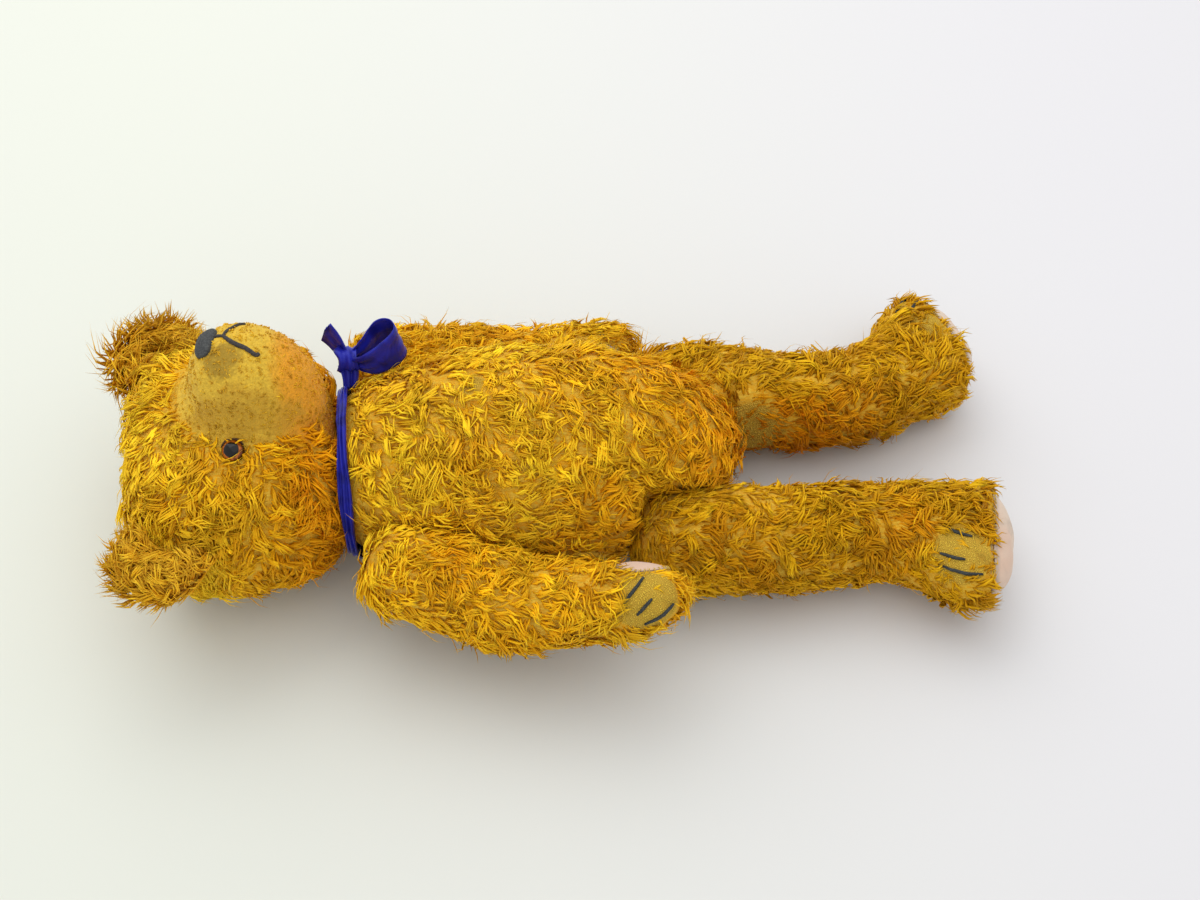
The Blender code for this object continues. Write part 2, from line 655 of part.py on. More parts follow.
def paw_pad(joint, limb):
    """Return the felt pad on the paw's inner face."""
    section = limb.section(PAW_PAD_X, 0.0)
    turn = Matrix.Rotation(section.roll, 3, "X")
    place = section.middle + turn @ Vector((0, -limb.side * section.wide, 0))
    frame = Matrix.Translation(place) @ turn.to_4x4()
    pad = ellipsoid(Vector(), PAW_PAD_HALF, segments=10, rings=6)
    pad.transform(joint.frame @ frame)
    return cut(pad, shrunk(limb.shape(joint.frame), -2 * GAP))


def foot_pad(joint, limb):
    """Return the felt sole, bulging from the flat end of the leg."""
    last = limb.section(limb.end, 0.0)
    turn = Matrix.Rotation(last.roll, 3, "X") @ Matrix.Rotation(last.pitch, 3, "Y")
    rings = []
    for out, less in SOLE_STEPS:
        ring = last.grown(-less)
        rings.append(Ring(ring.middle + turn @ Vector((out, 0, 0)), *[getattr(ring, f) for f in (
            "wide", "front", "back", "roll", "pitch", "power")]))
    return finish(loft(rings, limb.sides), joint.frame)


# ---- ribbon -------------------------------------------------------------------------------------
def strip(stations, across, thin):
    """Return a ribbon through (place, normal) stations, `across` wide each way and `thin` thick each way."""
    outlines = []
    for place, normal in stations:
        rise = normal.normalized() * thin
        outlines.append([place + across + rise, place - across + rise, place - across - rise, place + across - rise])
    return finish(skin(outlines))


def ribbon_shape():
    """Return the satin ribbon: a band in the groove of the neck, its knot, one loop and a cut end."""
    low, high = NECK_X + 2 * JOINT_GAP, NECK_X + BAND_END
    corners = ((low, BAND_LOW), (high, BAND_LOW), (high, BAND_HIGH), (low, BAND_HIGH))
    bm = bmesh.new()
    profile = [bm.verts.new((x, 0, TORSO_Z + torso_radius(x) + lift)) for x, lift in corners]
    edges = [bm.edges.new((profile[k - 1], profile[k])) for k in range(4)]
    bmesh.ops.spin(
        bm, geom=profile + edges, cent=(0, 0, TORSO_Z), axis=(1, 0, 0), angle=2 * pi, steps=20, use_merge=True,
    )
    band = finish(bm)

    outward = Vector((0, sin(BOW_ANGLE), cos(BOW_ANGLE)))
    aside = Vector((0, cos(BOW_ANGLE), -sin(BOW_ANGLE)))
    feet = Vector((1, 0, 0))
    middle = Vector((NECK_X + BOW_X, 0, TORSO_Z)) + BOW_R * outward
    knot = ellipsoid(Vector(), KNOT_HALF, segments=8, rings=6)
    knot.transform(axis_frame(middle, outward, feet))
    wide, thin = ROOT_HALF
    root = strip([(middle - ROOT_DEPTH * outward, aside), (middle, aside)], wide * feet, thin)

    loop = []
    full, taper = LOOP_TAPER
    for k in range(LOOP_STEPS + 1):
        t = 2 * pi * k / LOOP_STEPS
        place = middle + LOOP_R * (1 - cos(t)) * feet + LOOP_WIDE * sin(t) * (full - taper * cos(t)) * aside
        place += LOOP_RISE * (1 - cos(t)) * outward
        ahead = LOOP_R * sin(t) * feet + LOOP_WIDE * cos(t) * aside
        loop.append((place, ahead.cross(outward)))
    loop_half, tail_half = SATIN_HALF_WIDE
    bow = strip(loop, loop_half * outward, SATIN_HALF)
    up, over = TAIL_REACH
    tail = [(middle + t * (up * outward + over * aside), aside) for t in (0.1, 0.5, 1.0)]
    end = strip(tail, tail_half * feet, SATIN_HALF)
    return join(cut(join(root, knot, bow, end), torso_shape(-2 * GAP)), band)


# ---- the bear -----------------------------------------------------------------------------------
def clear_scene():
    """Remove what the scene holds."""
    for old in list(bpy.data.objects):
        bpy.data.objects.remove(old)


SIDES = (("right", -1), ("left", 1))
# pivot, turn of the axis towards the feet, swing towards the back
SHOULDERS = {
    "right": (Vector((-0.0940, -0.0505, 0.0570)), radians(-15), radians(-2)),
    "left": (Vector((-0.1015, 0.0495, 0.0550)), radians(-12), radians(17)),
}
HIPS = {
    "right": (Vector((0.0480, -0.0260, 0.0430)), radians(2), radians(4)),
    "left": (Vector((0.0480, 0.0260, 0.0430)), radians(4), radians(3.2)),
}
HIP_DROP = radians(14)  # each hip axis points a little to the back
# roll outwards and tip of the sole in degrees, and how far the foot is set forward
FEET = {"right": (62.0, -16.0, 0.008), "left": (82.0, -20.0, 0.032)}


def hinge_frame(place, yaw, drop, swing, side):
    """Return a limb's pivot frame: axis sideways, turned by yaw, dropped, and the limb swung."""
    axis = Vector((sin(yaw), side * cos(drop) * cos(yaw), -sin(drop) * cos(yaw))) * side
    frame = axis_frame(Vector(place), axis, Vector((1, 0, 0)))
    return frame @ Matrix.Rotation(swing, 4, "Y")


def main():
    """Build every sub-part."""
    clear_scene()
    neck = DiscJoint("neck", neck_frame(), 1, 0.0220, 0.0220)
    neck_pivot = pivot("neck_pivot", neck.frame)
    build_head(neck, neck_pivot)
    neck.build("head", neck_pivot)

    joints = []
    for side_name, side in SIDES:
        place, yaw, swing = SHOULDERS[side_name]
        frame = hinge_frame(place, yaw, 0.0, swing, side)
        joints.append(DiscJoint(f"{side_name}_shoulder", frame, side, 0.0135, 0.0135))
        limb = Limb(side=side, **ARM)
        holder = pivot(f"{side_name}_shoulder_pivot", frame)
        build_limb(f"{side_name}_arm", joints[-1], limb, paw_pad(joints[-1], limb), holder)
        joints[-1].build(f"{side_name}_arm", holder)

        place, yaw, swing = HIPS[side_name]
        frame = hinge_frame(place, yaw, HIP_DROP, swing, side)
        joints.append(DiscJoint(f"{side_name}_hip", frame, side, 0.0150, 0.0130))
        limb = Limb(side=side, **leg_spec(*FEET[side_name]))
        holder = pivot(f"{side_name}_hip_pivot", frame)
        build_limb(f"{side_name}_leg", joints[-1], limb, foot_pad(joints[-1], limb), holder)
        joints[-1].build(f"{side_name}_leg", holder)
    build_torso(neck, joints)
    node("neck_ribbon", ribbon_shape(), SATIN)


main()
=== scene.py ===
"""Looks of a threadbare, jointed mohair teddy bear that lies on its back.

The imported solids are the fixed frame, and every size and place below is in their metres: +X runs
from the head to the feet, +Y to the bear's left and +Z up through its belly. Each sewn cover becomes
a stuffed skin of woven backing with a pile of mohair locks planted on it. The pads, the eyes, the
stitched nose, mouth and claws and the satin ribbon are pieces of their own.
"""

import json
import logging
import math
from dataclasses import dataclass, field
from enum import Enum
from functools import cached_property
from typing import Any, Callable, Sequence

import bmesh
import bpy
import numpy as np
from mathutils import Matrix, Vector
from mathutils.bvhtree import BVHTree
from mathutils.kdtree import KDTree


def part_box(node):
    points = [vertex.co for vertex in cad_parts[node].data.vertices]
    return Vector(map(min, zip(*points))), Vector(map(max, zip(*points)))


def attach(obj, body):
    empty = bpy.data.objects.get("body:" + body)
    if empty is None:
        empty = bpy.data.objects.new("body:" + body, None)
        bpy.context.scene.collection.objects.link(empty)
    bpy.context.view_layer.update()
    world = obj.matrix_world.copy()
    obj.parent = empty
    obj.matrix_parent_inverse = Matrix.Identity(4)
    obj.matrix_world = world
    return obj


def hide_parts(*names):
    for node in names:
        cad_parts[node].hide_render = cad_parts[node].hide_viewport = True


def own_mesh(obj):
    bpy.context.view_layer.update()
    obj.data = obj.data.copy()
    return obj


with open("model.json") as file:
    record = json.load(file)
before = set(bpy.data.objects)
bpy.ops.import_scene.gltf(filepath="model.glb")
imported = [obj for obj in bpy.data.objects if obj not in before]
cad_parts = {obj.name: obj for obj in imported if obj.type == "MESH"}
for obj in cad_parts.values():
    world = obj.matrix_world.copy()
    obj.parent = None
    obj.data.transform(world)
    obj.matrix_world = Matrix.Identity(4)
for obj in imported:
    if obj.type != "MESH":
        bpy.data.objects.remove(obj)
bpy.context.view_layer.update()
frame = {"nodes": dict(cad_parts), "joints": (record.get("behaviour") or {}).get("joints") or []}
LOG = logging.getLogger("bear")

Colour = tuple[float, float, float]
Field = Callable[[np.ndarray, np.ndarray], np.ndarray]

FLOOR_GAP = 0.0004      # nothing of the bear comes nearer to the table than this
WELD = 0.00002          # corners closer than this are one
SIDES = {"right": -1, "left": 1}
JOINTS = {joint["name"]: joint for joint in frame["joints"]}

PIN_REACH = 0.013       # half length of a joint's stack of discs and washers
PIN_HOLE_R = 0.0029     # nothing of a cotter pin's hole lies further than this from its axis
CLOTH_FRAMES = 20       # frames that the stuffing takes to settle
CLOTH_PRESSURE = 4.0
LUMPS = ((0.0011, 0.022, 0), (0.0006, 0.009, 50))   # height, size and seed shift of the stuffing's lumps
DRAWN_IN = 0.0008       # the cloth is drawn in by this much round the lumps
LOCK_FLAT = 0.55        # a lock's thickness, as a share of its width
LOCK_TAPER = (0.62, 1.0, 0.80, 0.56)    # width of a lock's rings, from the root
LOCK_ROOM = 0.0035      # free height that a lock needs under the next part
ROOT_DEPTH = 0.0006     # a lock's root lies this far under the skin
SOFT_LANDING = 0.0025   # locks bend along the table over this height
CORD_UP = Vector((0.31, 0.22, 0.92))    # any direction that no thread runs along
ROOM_LIGHT = 0.84       # strength of the room's light on the bear
ROOM_SEEN = 0.88        # and as it is seen behind it


# ---- shader graphs ------------------------------------------------------------------------------
class Value:
    """One number that varies over a surface, written as Python maths."""

    def __init__(self, graph: "Graph", socket: bpy.types.NodeSocket) -> None:
        """Wrap a socket of a graph."""
        self.graph = graph
        self.socket = socket

    def __add__(self, other: "Value | float") -> "Value":
        """Return the sum."""
        return self.graph.maths("ADD", self, other)

    def __radd__(self, other: float) -> "Value":
        """Return the sum."""
        return self.graph.maths("ADD", other, self)

    def __sub__(self, other: "Value | float") -> "Value":
        """Return the difference."""
        return self.graph.maths("SUBTRACT", self, other)

    def __rsub__(self, other: float) -> "Value":
        """Return the difference."""
        return self.graph.maths("SUBTRACT", other, self)

    def __mul__(self, other: "Value | float") -> "Value":
        """Return the product."""
        return self.graph.maths("MULTIPLY", self, other)

    def __rmul__(self, other: float) -> "Value":
        """Return the product."""
        return self.graph.maths("MULTIPLY", other, self)

    def over(self, low: float, high: float) -> "Value":
        """Return 0 below `low`, 1 above `high` and a smooth rise between them."""
        ramp = self.graph.node(
            "ShaderNodeMapRange",
            {"interpolation_type": "SMOOTHSTEP"},
            {"Value": self, "From Min": low, "From Max": high, "To Min": 0.0, "To Max": 1.0},
        )
        return Value(self.graph, ramp.outputs["Result"])


class Graph:
    """The node graph of one material, or of the room."""

    def __init__(self, name: str, store: Any = None, shader: str = "Principled BSDF") -> None:
        """Start a graph.

        Args:
            name: Name of its owner.
            store: Blender's list of such owners, or None for the materials.
            shader: The shader that it ends in.
        """
        self.owner = (bpy.data.materials if store is None else store).new(name)
        self.owner.use_nodes = True
        self.tree = self.owner.node_tree
        self.shader = self.tree.nodes[shader]

    @cached_property
    def place(self) -> bpy.types.NodeSocket:
        """Return the piece's own coordinates."""
        return self.node("ShaderNodeTexCoord", {}, {}).outputs["Object"]

    def node(self, kind: str, settings: dict[str, Any], values: dict[str | int, Any]) -> bpy.types.Node:
        """Add any node.

        Args:
            kind: The node's type.
            settings: Its own settings, set first; "stops" are the stops of a colour ramp.
            values: What each socket is given: a number, a colour, a socket or a Value.

        Returns:
            The node.
        """
        made = self.tree.nodes.new(kind)
        for key, setting in settings.items():
            if key == "stops":
                self._stops(made.color_ramp, setting)
            else:
                setattr(made, key, setting)
        for key, value in values.items():
            self._give(made.inputs[key], value)
        return made

    @staticmethod
    def _stops(ramp: bpy.types.ColorRamp, stops: Sequence[tuple[float, Colour]]) -> None:
        """Set the stops of a colour ramp."""
        while len(ramp.elements) < len(stops):
            ramp.elements.new(0.5)
        for element, (place, colour) in zip(ramp.elements, stops):
            element.position = place
            element.color = (*colour, 1.0)

    def _give(self, socket: bpy.types.NodeSocket, value: Any) -> None:
        """Link or set one input."""
        if isinstance(value, Value):
            value = value.socket
        if isinstance(value, bpy.types.NodeSocket):
            self.tree.links.new(value, socket)
        elif isinstance(value, tuple) and len(value) == 3 and socket.type == "RGBA":
            socket.default_value = (*value, 1.0)
        else:
            socket.default_value = value

    def maths(self, operation: str, *values: "Value | float") -> Value:
        """Return the result of one Math node."""
        made = self.node("ShaderNodeMath", {"operation": operation}, dict(enumerate(values)))
        return Value(self, made.outputs[0])

    def layer(self, name: str) -> Value:
        """Read one of the piece's own attributes."""
        return Value(self, self.node("ShaderNodeAttribute", {"attribute_name": name}, {}).outputs["Fac"])

    def stretched(self, scale: Sequence[float]) -> bpy.types.NodeSocket:
        """Return the piece's coordinates, stretched along each axis."""
        made = self.node("ShaderNodeMapping", {}, {"Vector": self.place, "Scale": tuple(scale)})
        return made.outputs["Vector"]

    def noise(self, size: float, detail: float = 3.0, wander: float = 0.0, place: Any = None,
              rough: float = 0.55) -> Value:
        """Return soft noise between 0 and 1.

        Args:
            size: About the size of its blotches, in metres.
            detail: How many finer octaves it has.
            wander: How much it is distorted.
            place: Its coordinates, or None for the piece's own.
            rough: How strong the finer octaves are.

        Returns:
            The noise.
        """
        made = self.node(
            "ShaderNodeTexNoise",
            {"noise_dimensions": "3D"},
            {
                "Vector": self.place if place is None else place,
                "Scale": 1.0 / size, "Detail": detail, "Distortion": wander, "Roughness": rough,
            },
        )
        return Value(self, made.outputs["Fac"])

    def cells(self, size: float) -> Value:
        """Return the distance to the nearest of many scattered points, in cell sizes."""
        made = self.node(
            "ShaderNodeTexVoronoi", {"feature": "F1"}, {"Vector": self.place, "Scale": 1.0 / size},
        )
        return Value(self, made.outputs["Distance"])

    def mix(self, share: "Value | float", first: Any, second: Any) -> bpy.types.NodeSocket:
        """Return a colour between two."""
        made = self.node(
            "ShaderNodeMix",
            {"data_type": "RGBA", "clamp_factor": True},
            {0: share, 6: first, 7: second},
        )
        return made.outputs[2]

    def ramp(self, share: Value, stops: Sequence[tuple[float, Colour]]) -> bpy.types.NodeSocket:
        """Return the colour of a ramp with the given stops."""
        return self.node("ShaderNodeValToRGB", {"stops": stops}, {"Fac": share}).outputs["Color"]

    def bump(self, height: Value, depth: float, strength: float, under: Any = None) -> bpy.types.NodeSocket:
        """Return a normal raised by `height`, `depth` metres at most, over another normal."""
        values = {"Height": height, "Distance": depth, "Strength": strength}
        if under is not None:
            values["Normal"] = under
        return self.node("ShaderNodeBump", {}, values).outputs["Normal"]

    def dress(self, **values: Any) -> bpy.types.ID:
        """Give the shader its values, named with underscores, and return the graph's owner."""
        for key, value in values.items():
            self._give(self.shader.inputs[key.replace("_", " ")], value)
        return self.owner


# ---- finishes -----------------------------------------------------------------------------------
@dataclass(frozen=True)
class Mohair:
    """Lustrous mohair locks, each with its own tone, painted darker at the root as shade in the depth of the
    pile.

    Attributes:
        name: The material's name.
        root: Colour at the root, painted shade in the depth of the pile.
        middle: Colour of the lock.
        tip: Colour where it catches the light.
        pale: Colour of the faded locks, and of painted light where the pile faces the light.
        rust: Colour of the locks that have kept their dye.
        dull: Colour of the dirty locks, and of painted shade under the bear and in its creases.
    """

    name: str
    root: Colour = (0.820, 0.380, 0.0030)
    middle: Colour = (0.920, 0.470, 0.0070)
    tip: Colour = (0.970, 0.600, 0.0200)
    pale: Colour = (0.980, 0.660, 0.0240)
    rust: Colour = (0.860, 0.310, 0.0025)
    dull: Colour = (0.400, 0.170, 0.0040)

    def material(self) -> bpy.types.Material:
        """Build the finish."""
        graph = Graph(self.name)
        along, tone = graph.layer("along"), graph.layer("tone")
        fibre = graph.node(
            "ShaderNodeCombineXYZ", {},
            {"X": along * 2.2, "Y": graph.layer("around") * 9.0, "Z": tone * 60.0},
        ).outputs["Vector"]
        strands = graph.noise(1.0, 2.0, 0.3, fibre)
        # Painted shade deep in the pile, rising to a painted highlight at the tips.
        length = graph.ramp(along, ((0.0, self.root), (0.40, self.middle), (1.0, self.tip)))
        # Fading, and painted light on the pile's upper side and the crown, strongest towards the tips.
        lit_and_faded = graph.mix(graph.layer("pale") * along.over(0.0, 0.5), length, self.pale)
        dyed = graph.mix(graph.layer("rust"), lit_and_faded, self.rust)
        # Dirt, and painted shade under the bear, at the ears' seams and in the left leg's crotch.
        darkened = graph.mix(graph.layer("dull"), dyed, self.dull)
        shade = graph.node(
            "ShaderNodeHueSaturation",
            {},
            {"Color": darkened, "Value": 0.62 + tone * 0.58 + strands * 0.24, "Hue": 0.489 + tone * 0.022},
        ).outputs["Color"]
        return graph.dress(
            Base_Color=shade, Roughness=0.55, Specular_IOR_Level=0.20,
            Specular_Tint=(1.0, 0.78, 0.30, 1.0), Normal=graph.bump(strands, 0.0003, 0.6),
        )


@dataclass(frozen=True)
class Backing:
    """The woven cloth under the pile, with the stubs of worn locks and darker openings in its weave.

    Attributes:
        name: The material's name.
        cloth: Colour of the weave.
        stub: Colour of the flattened stubs that hide most of it.
        dirt: Colour of the dirty patches; the weave's openings take half of it.
        thread: Pitch of the weave in metres.
        bare: How much of the weave shows, from 0 to 1.
    """

    name: str
    cloth: Colour = (0.800, 0.530, 0.0550)
    stub: Colour = (0.780, 0.360, 0.0060)
    dirt: Colour = (0.300, 0.140, 0.0100)
    thread: float = 0.0009
    bare: float = 0.25

    def material(self) -> bpy.types.Material:
        """Build the finish."""
        graph = Graph(self.name)
        weave = (1 - graph.cells(self.thread)).over(0.35, 0.75)
        hair = graph.noise(0.0016, 4.0, 1.4, graph.stretched((0.30, 1.0, 1.0)), 0.7)
        patch = graph.noise(0.030, 3.0, 0.5)
        worn = (graph.layer("worn") * 1.2 + (patch - 0.5) * 0.8 + (self.bare - 0.25)).over(0.35, 0.75)
        pile = graph.mix(hair.over(0.35, 0.65), self.stub, self.cloth)
        # The openings of the weave are drawn darker.
        holes = graph.mix(weave, graph.mix(0.45, self.dirt, self.cloth), self.cloth)
        both = graph.mix(worn, pile, holes)
        darkened = graph.mix(graph.noise(0.018, 4.0, 0.8).over(0.56, 0.80) * 0.45, both, self.dirt)
        height = hair * (1 - worn) + weave * worn * 0.6
        return graph.dress(
            Base_Color=darkened, Roughness=0.88, Specular_IOR_Level=0.25,
            Normal=graph.bump(height, 0.0012, 0.9),
        )


@dataclass(frozen=True)
class ShornPile:
    """The muzzle's short, worn pile: a nap of tight tufts, olive at the sides and orange at the chin.

    Attributes:
        name: The material's name.
        bridge: Colour of the smooth bridge.
        side: Colour of the darker, olive side to the bear's right.
        chin: Colour of the dyed chin.
        grime: Colour of the stains round the nose, and of the painted shade between the nap's tufts.
    """

    name: str
    bridge: Colour = (0.780, 0.500, 0.0450)
    side: Colour = (0.560, 0.310, 0.0250)
    chin: Colour = (0.820, 0.350, 0.0180)
    grime: Colour = (0.300, 0.180, 0.0200)

    def material(self) -> bpy.types.Material:
        """Build the finish."""
        graph = Graph(self.name)
        chin = graph.layer("chin")
        flank = graph.layer("flank")
        patch = graph.noise(0.012, 4.0, 0.6)
        nap = graph.noise(0.0017, 3.0, 0.6, rough=0.65)
        base = graph.mix((chin + (patch - 0.5) * 0.5).over(0.30, 0.80), self.bridge, self.chin)
        # The muzzle is drawn darker and olive towards the bear's right side.
        base = graph.mix((flank * 0.9 + (patch - 0.5) * 1.3).over(0.35, 0.85) * 0.75, base, self.side)
        stain = (graph.layer("grime") + (graph.noise(0.006, 4.0, 1.0) - 0.5) * 1.2).over(0.45, 0.95)
        base = graph.mix(stain * 0.8, base, self.grime)
        # Painted light and shade on the nap: dark in the grime colour between its tufts.
        lit = graph.mix(nap.over(0.38, 0.62), self.grime, base)
        speckled = graph.mix(0.28, base, lit)
        tufts = (1 - graph.cells(0.0013)) * 0.6 + nap * 0.7
        return graph.dress(
            Base_Color=speckled, Roughness=0.86, Specular_IOR_Level=0.25,
            Sheen_Weight=0.12, Sheen_Tint=(1.0, 0.85, 0.5, 1.0), Normal=graph.bump(tufts, 0.0009, 0.8),
        )


@dataclass(frozen=True)
class Felt:
    """Pale felt, matted and smudged grey by handling.

    Attributes:
        name: The material's name.
        clean: Colour of the clean felt.
        smudge: Colour of the handled patches.
        rosy: Colour where the old dye still shows.
    """

    name: str
    clean: Colour = (0.735, 0.590, 0.465)
    smudge: Colour = (0.420, 0.350, 0.290)
    rosy: Colour = (0.700, 0.450, 0.330)

    def material(self) -> bpy.types.Material:
        """Build the finish."""
        graph = Graph(self.name)
        patch = graph.noise(0.016, 4.0, 0.7)
        fibre = graph.noise(0.0009, 5.0, 1.6, rough=0.7)
        base = graph.mix(graph.noise(0.030, 2.0, 0.2).over(0.40, 0.65) * 0.6, self.clean, self.rosy)
        base = graph.mix(patch.over(0.50, 0.78) * 0.55, base, self.smudge)
        base = graph.mix(fibre.over(0.45, 0.80) * 0.22, base, self.smudge)
        # The felt is drawn darker towards its rim.
        rim = graph.layer("rim")
        base = graph.mix((rim + (patch - 0.5) * 0.6).over(0.45, 1.0) * 0.6, base, self.smudge)
        return graph.dress(
            Base_Color=base, Roughness=0.94, Specular_IOR_Level=0.2, Sheen_Weight=0.15,
            Normal=graph.bump(fibre, 0.0005, 0.55),
        )


@dataclass(frozen=True)
class Thread:
    """Stranded cotton, its strands running along the piece's own length.

    Attributes:
        name: The material's name.
        colour: Colour of the strands.
        worn: Colour where they are rubbed.
        pitch: Distance between two strands in metres.
    """

    name: str
    colour: Colour = (0.030, 0.032, 0.034)
    worn: Colour = (0.105, 0.110, 0.105)
    pitch: float = 0.0007

    def material(self) -> bpy.types.Material:
        """Build the finish."""
        graph = Graph(self.name)
        strands = graph.noise(self.pitch, 3.0, 0.3)
        rubbed = graph.noise(0.004, 3.0, 0.5)
        wear = strands.over(0.40, 0.70) * 0.55 + rubbed.over(0.5, 0.8) * 0.35
        return graph.dress(
            Base_Color=graph.mix(wear, self.colour, self.worn), Roughness=0.72, Specular_IOR_Level=0.35,
            Normal=graph.bump(strands, 0.00035, 0.7),
        )


@dataclass(frozen=True)
class Satin:
    """Royal blue satin: smooth, lustrous, and finely ribbed along the ribbon, with painted shade in its
    creases.

    Attributes:
        name: The material's name.
        lit: Colour of the face.
        deep: Colour of the painted shade in the creases.
    """

    name: str
    lit: Colour = (0.017, 0.021, 0.360)
    deep: Colour = (0.008, 0.008, 0.150)

    def material(self) -> bpy.types.Material:
        """Build the finish."""
        graph = Graph(self.name)
        crease = graph.noise(0.012, 3.0, 0.8)
        rib = graph.noise(0.00045, 2.0, 0.0, graph.stretched((1.0, 1.0, 0.25)))
        # Painted shade: blotches of the deep colour stand in for shaded creases.
        base = graph.mix(crease.over(0.30, 0.62), self.deep, self.lit)
        normal = graph.bump(crease, 0.0016, 0.35)
        return graph.dress(
            Base_Color=base, Roughness=0.26 + rib * 0.16, Specular_IOR_Level=0.45,
            Specular_Tint=(0.45, 0.50, 1.0, 1.0), Normal=graph.bump(rib, 0.00012, 0.5, normal),
        )


@dataclass(frozen=True)
class EyeGlass:
    """Amber glass over a black pupil; `ring` on the piece runs from the pupil's middle to the rim.

    Attributes:
        name: The material's name.
        amber: Colour of the iris.
        glow: Colour of its bright streaks.
        rim: Colour of its edge.
        pupil: Colour of the pupil.
    """

    name: str
    amber: Colour = (0.170, 0.036, 0.003)
    glow: Colour = (0.520, 0.140, 0.008)
    rim: Colour = (0.030, 0.010, 0.003)
    pupil: Colour = (0.004, 0.003, 0.003)

    def material(self) -> bpy.types.Material:
        """Build the finish."""
        graph = Graph(self.name)
        ring = graph.layer("ring")
        streak = graph.noise(0.0016, 3.0, 0.4)
        iris = graph.mix(streak.over(0.40, 0.62), self.amber, self.glow)
        edge = graph.mix(ring.over(0.78, 0.95), iris, self.rim)
        base = graph.mix(1 - ring.over(0.62, 0.70), edge, self.pupil)
        return graph.dress(
            Base_Color=base, Roughness=0.15, Specular_IOR_Level=0.2,
            Coat_Weight=0.25, Coat_Roughness=0.05,
        )


@dataclass(frozen=True)
class TableTop:
    """A matt white table, faintly cool on one side.

    Attributes:
        name: The material's name.
        warm: Colour at the head's end.
        cool: Colour at the feet's end.
    """

    name: str
    warm: Colour = (0.735, 0.760, 0.690)
    cool: Colour = (0.735, 0.730, 0.755)

    def material(self) -> bpy.types.Material:
        """Build the finish."""
        graph = Graph(self.name)
        split = graph.node("ShaderNodeSeparateXYZ", {}, {"Vector": graph.place})
        across = Value(graph, split.outputs["X"]).over(-0.35, 0.40)
        base = graph.mix(across, self.warm, self.cool)
        return graph.dress(Base_Color=base, Roughness=0.55, Specular_IOR_Level=0.25)


# ---- modelling tools ----------------------------------------------------------------------------
def as_object(name: str, mesh: bpy.types.Mesh, material: bpy.types.Material) -> bpy.types.Object:
    """Add a mesh to the scene as a smooth-shaded piece."""
    mesh.materials.clear()
    mesh.materials.append(material)
    mesh.shade_smooth()
    piece = bpy.data.objects.new(name, mesh)
    bpy.context.scene.collection.objects.link(piece)
    return piece


def to_mesh(bm: bmesh.types.BMesh, place: Matrix | None = None, outward: bool = True) -> bpy.types.Mesh:
    """Turn a bmesh into a mesh.

    Args:
        bm: The bmesh, which is used up.
        place: Where it goes, or None where it already lies in place.
        outward: True to merge doubles and point its faces outwards.

    Returns:
        The mesh.
    """
    if outward:
        bmesh.ops.remove_doubles(bm, verts=bm.verts, dist=WELD)
        bmesh.ops.recalc_face_normals(bm, faces=bm.faces)
    if place is not None:
        bmesh.ops.transform(bm, matrix=place, verts=bm.verts)
    mesh = bpy.data.meshes.new("shape")
    bm.to_mesh(mesh)
    bm.free()
    return mesh


def declare(piece: bpy.types.Object, slot: str, body: str, *replaced: str) -> None:
    """Hide the solids that a piece replaces, and hang the piece on the body that it moves with."""
    if replaced:
        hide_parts(*replaced)
    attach(piece, body)
    LOG.info("%s: %d faces", piece.name, len(piece.data.polygons))


def tree_of(mesh: bpy.types.Mesh) -> BVHTree:
    """Return a mesh's faces, ready to be searched."""
    return BVHTree.FromPolygons(
        [tuple(p) for p in points_of(mesh)], [tuple(polygon.vertices) for polygon in mesh.polygons],
    )


def applied(piece: bpy.types.Object) -> None:
    """Apply every modifier of a piece to its mesh."""
    bpy.context.view_layer.update()
    graph = bpy.context.evaluated_depsgraph_get()
    mesh = bpy.data.meshes.new_from_object(piece.evaluated_get(graph))
    piece.modifiers.clear()
    old = piece.data
    piece.data = mesh
    bpy.data.meshes.remove(old)


def points_of(mesh: bpy.types.Mesh) -> np.ndarray:
    """Return the corners of a mesh, one row each."""
    flat = np.empty(len(mesh.vertices) * 3, np.float32)
    mesh.vertices.foreach_get("co", flat)
    return flat.reshape(-1, 3).astype(float)


def normals_of(mesh: bpy.types.Mesh) -> np.ndarray:
    """Return the outward direction at each corner of a mesh."""
    flat = np.empty(len(mesh.vertices) * 3, np.float32)
    mesh.vertex_normals.foreach_get("vector", flat)
    return flat.reshape(-1, 3).astype(float)


def set_points(mesh: bpy.types.Mesh, points: np.ndarray) -> None:
    """Move the corners of a mesh."""
    mesh.vertices.foreach_set("co", points.astype(np.float32).ravel())
    mesh.update()


def set_layer(mesh: bpy.types.Mesh, name: str, values: np.ndarray) -> None:
    """Give a mesh one number per corner."""
    layer = mesh.attributes.get(name) or mesh.attributes.new(name, "FLOAT", "POINT")
    layer.data.foreach_set("value", values.astype(np.float32))


def unit(rows: np.ndarray) -> np.ndarray:
    """Return each row with length 1."""
    return rows / np.maximum(np.linalg.norm(rows, axis=-1, keepdims=True), 1e-9)


def rise(values: np.ndarray, low: float, high: float) -> np.ndarray:
    """Return 0 below `low`, 1 above `high` and a smooth rise between them."""
    share = np.clip((values - low) / (high - low), 0.0, 1.0)
    return share * share * (3 - 2 * share)


def near(points: np.ndarray, place: Sequence[float], inner: float, outer: float) -> np.ndarray:
    """Return 1 within `inner` of a place, 0 beyond `outer` and a smooth fall between them."""
    away = np.linalg.norm(points - np.array(place), axis=1)
    return 1 - rise(away, inner, outer)


